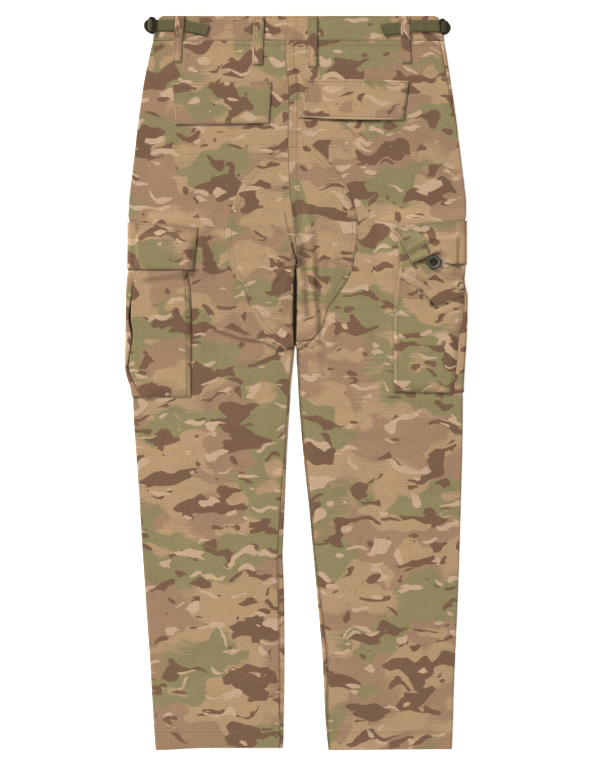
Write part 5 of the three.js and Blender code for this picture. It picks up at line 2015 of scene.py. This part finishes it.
def bartack(x, y, height, length=9, depth=2.2, along=(1, 0)):
    """A short dense zigzag across a strain point."""
    across = (-along[1], along[0])
    path = []
    steps = int(length / 0.8)
    for k in range(steps + 1):
        a = (k / steps - 0.5) * length
        b = (0.5 if k % 2 else -0.5) * depth
        path.append((x + along[0] * a + across[0] * b, y + along[1] * a + across[1] * b))
    return stitch_row(path, height, pitch=1.9, sink=0.05)


def bartacks():
    rows = []
    for name, (top, top_x, bottom, bottom_x, width, _) in BELT_LOOPS.items():
        height = loop_height(name)
        rows.append(bartack(bottom_x, bottom + 2, height, width - 2))
        rows.append(bartack(between(bottom_x, top_x, 0.93), between(bottom, top, 0.95), height, width - 3))
    for leg, pocket in CARGO_POCKETS.items():
        x = line(pocket["inner"], pocket["bottom"] + 3)
        rows.append(bartack(x + pocket["out"] * 5, pocket["bottom"] + 3, pocket_height(leg), 8))
    rows.append(bartack(centre_back(342.0) + 6, 342.5, seat_height, 13, 2.6))
    for leg, (ul, ur, _, _) in HIP_FLAPS.items():
        height = hip_flap_height(leg)
        rows.append(bartack(ul[0] + 5, ul[1] - 2.4, height, 7))
        rows.append(bartack(ur[0] - 5, ur[1] - 2.4, height, 7))
    return stitching("bartacks", rows, 1.9)


def button_stitches():
    """The two bars of thread through the button's holes."""
    cx, cy, top = button_middle.x / MM, button_middle.y / MM, button_base / MM + 1.1
    reach = 1.7
    bars = [[(cx - reach, cy + side * reach), (cx + reach, cy + side * reach)] for side in (-1, 1)]
    rows = [stitch_row(bar, lambda x, y: top + 0 * x, pitch=3.4, sink=0.05) for bar in bars]
    return stitching("button_stitches", rows, 4.2, button_thread)


seam_stitches()
button_stitches()
band_stitches()
patch_stitches()
hip_flap_stitches()
cargo_stitches()
loop_stitches()
bartacks()


# Floor, light and camera

PHOTO_SIZE = (600, 765)
PHOTO_SCALE = 1.45  # millimetres of the pants for each of the photo's dots
VIEW_MIDDLE = (5.44, 0.36)
CAMERA_HEIGHT = 5000
FACE_HEIGHT = 5
FLOOR_HALF = 6  # metres, as the lamps' places are
FLOOR_DROP = 0.0004
KEY_LAMP = {"place": (-7, 8.5, 5.2), "aim": (0, 0, 0), "size": 2.0, "power": 1950}
FILL_LAMP = {"place": (-2.5, -6.5, 4.5), "aim": (0, -0.3, 0), "size": 3, "power": 150}
WORLD_STRENGTH = 0.57


def add_floor():
    sheet = bmesh.new()
    bmesh.ops.create_grid(sheet, x_segments=2, y_segments=2, size=FLOOR_HALF)
    bmesh.ops.translate(sheet, verts=sheet.verts, vec=(0, 0, -FLOOR_DROP))
    mesh = bpy.data.meshes.new("floor")
    sheet.to_mesh(mesh)
    sheet.free()
    floor = new_object("floor", mesh)
    n = Nodes("pale_floor")
    n.shader.inputs["Base Color"].default_value = (0.93, 0.93, 0.93, 1)
    n.finish(0.9, 0.0)
    n.shader.inputs["Emission Color"].default_value = (1, 1, 1, 1)
    n.shader.inputs["Emission Strength"].default_value = 0.5
    mesh.materials.append(n.material)


def add_lamp(name, place, aim, size, power):
    lamp = bpy.data.lights.new(name, "AREA")
    lamp.shape, lamp.size, lamp.energy = "DISK", size, power
    holder = new_object(name, lamp)
    holder.location = place
    holder.rotation_euler = (Vector(aim) - Vector(place)).to_track_quat("-Z", "Y").to_euler()


def add_camera():
    camera = bpy.data.cameras.new("camera")
    height = PHOTO_SIZE[1] * PHOTO_SCALE * MM
    distance = (CAMERA_HEIGHT - FACE_HEIGHT) * MM
    camera.sensor_fit = "VERTICAL"
    camera.sensor_height = 24
    camera.lens = camera.sensor_height * distance / height
    camera.clip_end = 50
    holder = new_object("camera", camera)
    holder.location = (VIEW_MIDDLE[0] * MM, VIEW_MIDDLE[1] * MM, CAMERA_HEIGHT * MM)
    bpy.context.scene.camera = holder


add_floor()
add_lamp("key", **KEY_LAMP)
add_lamp("fill", **FILL_LAMP)
world = bpy.data.worlds.new("studio")
world.use_nodes = True
world.node_tree.nodes["Background"].inputs["Color"].default_value = (1, 1, 1, 1)
world.node_tree.nodes["Background"].inputs["Strength"].default_value = WORLD_STRENGTH
bpy.context.scene.world = world
bpy.context.scene.view_settings.view_transform = "Standard"
add_camera()
